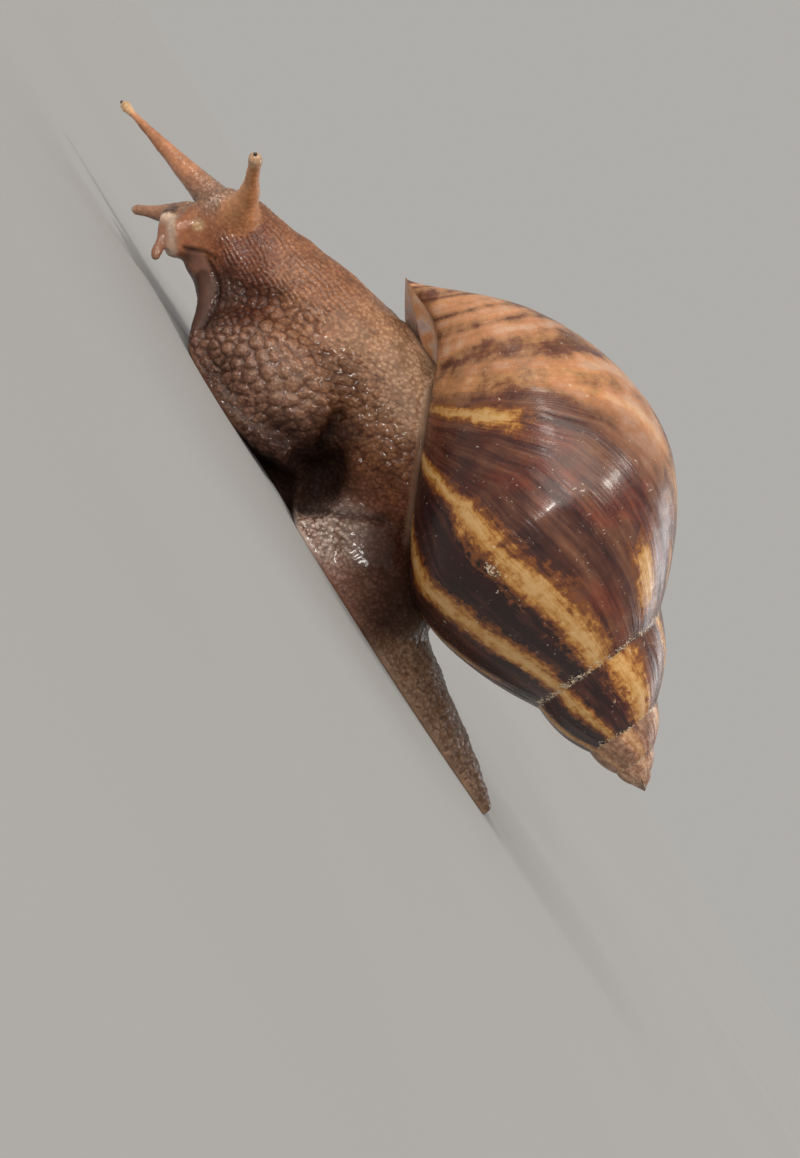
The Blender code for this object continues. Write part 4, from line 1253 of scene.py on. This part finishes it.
@dataclass(frozen=True)
class SkinFinish:
    """Wet, fine-grained skin, darker in its grooves, with painted glints as pale specks on its bead tops, and a slimy
    gloss.
    """

    groove: Tone = (0.40, 0.27, 0.20)
    painted_glint: Tone = (0.62, 0.53, 0.42)

    def make(self) -> bpy.types.Material:
        """Build the material."""
        w = Wiring("snail_skin")
        place = w.place()
        tone = w.attribute("tone").outputs["Color"]
        relief = w.attribute("relief").outputs["Fac"]
        grain = w.attribute("grain").outputs["Fac"]
        wet = w.attribute("wet").outputs["Fac"]
        cloud = w.noise(place, 0.35, 4.0, 0.6)
        fine = w.noise(place, 2.6, 3.0, 0.6)
        bead = w.cells(place, 1.55).outputs["Distance"]
        grit = w.cells(place, 3.4).outputs["Distance"]

        colour = w.blend(1.0, tone, w.ramp(cloud, ((0.3, (0.72, 0.70, 0.68)), (0.7, (1.22, 1.2, 1.18)))), "MULTIPLY")
        furrow = w.maths("MULTIPLY", w.spread(relief, 0.70, 0.10), 0.85)
        colour = w.blend(furrow, colour, w.blend(1.0, colour, self.groove, "MULTIPLY"))
        pits = w.maths("MULTIPLY", w.spread(bead, 0.30, 0.62), w.maths("MULTIPLY", grain, 0.55))
        colour = w.blend(pits, colour, w.blend(1.0, colour, self.groove, "MULTIPLY"))
        # painted glints: pale spots on the bead tops, stronger where the skin is wet
        tops = w.maths("MULTIPLY", w.spread(bead, 0.22, 0.05), w.maths("MULTIPLY", grain, w.maths("MULTIPLY", wet, 0.2)))
        tops = w.maths("MULTIPLY", tops, w.spread(fine, 0.4, 0.65))
        colour = w.blend(tops, colour, self.painted_glint)

        normal = w.bump(w.maths("MULTIPLY", bead, -1.0), w.maths("MULTIPLY", grain, 0.70), 0.22)
        normal = w.bump(w.maths("MULTIPLY", grit, -1.0), w.maths("MULTIPLY", grain, 0.55), 0.09, normal)
        normal = w.bump(w.noise(place, 7.0, 2.0), 0.25, 0.02, normal)
        roughness = w.spread(w.noise(place, 0.9, 3.0), 0.35, 0.65, 0.26, 0.42)
        roughness = w.maths("ADD", roughness, w.maths("MULTIPLY", w.maths("SUBTRACT", 1.0, wet), 0.5), clamp=True)
        w.surface(Base_Color=colour, Roughness=roughness, Normal=normal, IOR=1.4, Subsurface_Weight=0.18,
                  Subsurface_Scale=0.0012, Subsurface_Radius=(1.0, 0.45, 0.25), Coat_Roughness=0.13, Metallic=0.0,
                  Coat_Weight=w.maths("MULTIPLY", wet, 0.42), Specular_IOR_Level=w.maths("MULTIPLY", wet, 0.4))
        return w.material


# ---------------------------------------------------------------- eyes
@dataclass
class Eye:
    """A small dark ball, sunk in the tip of an upper tentacle."""

    node: str
    tip: Triple
    root: Triple
    sunk: float  # how much deeper than its solid it sits in the knob
    radius: float = 0.30

    def build(self) -> bpy.types.Object:
        """Build the eye where its solid is."""
        low, high = (np.array(corner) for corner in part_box(self.node))
        bm = bmesh.new()
        bmesh.ops.create_uvsphere(bm, u_segments=28, v_segments=18, radius=self.radius * MM)
        inwards = unit(np.array(self.root) - np.array(self.tip)) * self.sunk * MM
        bmesh.ops.translate(bm, vec=Vector(((low + high) / 2 + inwards).tolist()), verts=bm.verts)
        for face in bm.faces:
            face.smooth = True
        return link_mesh(self.node + "_visual", mesh_of(self.node + "_visual", bm))

    def dress(self, obj: bpy.types.Object, finish: "EyeFinish") -> None:
        """Give the eye its finish, and take the place of its plain solid."""
        obj.data.materials.append(finish.make())
        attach(obj, BODY)
        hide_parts(self.node)
        LOG.info("%s: %d faces", self.node, len(obj.data.polygons))


@dataclass(frozen=True)
class EyeFinish:
    """Near-black, with a brown bloom and a clear wet front."""

    pupil: Tone = (0.006, 0.005, 0.005)
    bloom: Tone = (0.035, 0.024, 0.018)

    def make(self) -> bpy.types.Material:
        """Build the material."""
        w = Wiring("snail_eye")
        colour = w.ramp(w.noise(w.place(), 3.0, 3.0), ((0.4, self.pupil), (0.7, self.bloom)))
        w.surface(Base_Color=colour, Roughness=0.14, IOR=1.38, Coat_Weight=0.6, Coat_Roughness=0.05)
        return w.material


# ---------------------------------------------------------------- studio
@dataclass(frozen=True)
class Sun:
    """A soft light from far away, so that the floor is evenly lit to its edge: where it comes from, its strength
    and how many degrees of the sky it fills."""

    name: str
    direction: Triple
    strength: float
    spread: float
    tone: Tone

    def hang(self) -> None:
        """Add the light to the scene."""
        light = bpy.data.lights.new(self.name, "SUN")
        light.energy, light.angle, light.color = self.strength, math.radians(self.spread), self.tone
        obj = bpy.data.objects.new(self.name, light)
        obj.location = self.direction
        obj.rotation_euler = Vector(self.direction).to_track_quat("Z", "Y").to_euler()
        bpy.context.scene.collection.objects.link(obj)


@dataclass
class Studio:
    """A pale floor, soft light and the camera."""

    distance: float = 260.0
    elevation: float = math.radians(3.0)
    roll: float = math.radians(58.0)
    offset: tuple[float, float] = (-15.035, 8.2615)
    lens: float = 52.15
    floor_size: float = 40.0
    floor_tone: Tone = (0.345, 0.345, 0.345)
    air_tone: Tone = (1.0, 0.97, 0.925)
    air_light: float = 0.43  # as pale as the floor looks
    suns: tuple[Sun, ...] = (
        Sun("key", (0.15, -0.38, 0.90), 1.25, 14.0, (1.0, 0.94, 0.86)),
        Sun("front", (-0.35, -0.75, 0.55), 1.45, 50.0, (1.0, 0.94, 0.86)),
        Sun("glint", (-0.20, -0.90, 0.18), 0.75, 4.0, (1.0, 0.96, 0.90)),
        Sun("rim", (0.40, 0.45, 0.45), 0.5, 25.0, (0.97, 0.98, 1.0)),
        Sun("head", (-0.50, -0.35, 0.30), 0.4, 10.0, (1.0, 0.96, 0.90)),
    )

    def build(self) -> None:
        """Lay the floor, light it and set the camera."""
        bm = bmesh.new()
        bmesh.ops.create_grid(bm, x_segments=4, y_segments=4, size=self.floor_size / 2)
        floor = link_mesh("floor", mesh_of("floor", bm))
        w = Wiring("floor_paint")
        shade = w.noise(w.place(0.01), 1.0, 2.0)
        pale = tuple(channel * 0.97 for channel in self.floor_tone)
        w.surface(Base_Color=w.ramp(shade, ((0.3, pale), (0.7, self.floor_tone))), Roughness=0.8,
                  Specular_IOR_Level=0.1)
        floor.data.materials.append(w.material)
        floor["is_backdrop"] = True
        for sun in self.suns:
            sun.hang()
        world = bpy.data.worlds.new("studio_air")
        world.use_nodes = True
        background = world.node_tree.nodes["Background"]
        background.inputs["Color"].default_value = (*self.air_tone, 1.0)
        background.inputs["Strength"].default_value = self.air_light
        bpy.context.scene.world = world
        bpy.context.scene.view_settings.view_transform = "Standard"
        self.camera()

    def camera(self) -> None:
        """Set the camera low beside the head, rolled so that the shell hangs down to the right."""
        c, s = math.cos(self.elevation), math.sin(self.elevation)
        forward, level, upright = np.array((0, c, -s)), np.array((1.0, 0, 0)), np.array((0, s, c))
        right = math.cos(self.roll) * level + math.sin(self.roll) * upright
        up = -math.sin(self.roll) * level + math.cos(self.roll) * upright
        place = metres(-(forward * self.distance + right * self.offset[0] + up * self.offset[1]))
        data = bpy.data.cameras.new("camera")
        data.sensor_width, data.lens, data.clip_start = 36.0, self.lens, 0.005
        obj = bpy.data.objects.new("camera", data)
        turn = Matrix(np.stack([right, up, -forward], 1).tolist()).to_4x4()
        obj.matrix_world = Matrix.Translation(place.tolist()) @ turn
        bpy.context.scene.collection.objects.link(obj)
        bpy.context.scene.camera = obj


def corners() -> list[list[float]]:
    """The whole object's box, as plain lists of numbers."""
    return [[float(number) for number in corner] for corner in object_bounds()]


def main() -> None:
    """Build every piece in order."""
    logging.basicConfig(level=logging.INFO, format="%(name)s: %(message)s")
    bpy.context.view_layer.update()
    shell = Shell()
    shell_piece = shell.build()
    shell.dress(shell_piece, ShellFinish())
    skin = Skin()
    skin_piece = skin.build(shell_piece)
    skin.dress(skin_piece, SkinFinish())
    for feeler in skin.feelers:
        if feeler.eye:
            eye = Eye(feeler.eye, feeler.tip, feeler.root, feeler.eye_sunk)
            eye.dress(eye.build(), EyeFinish())
    Studio().build()


if __name__ == "__main__":
    main()
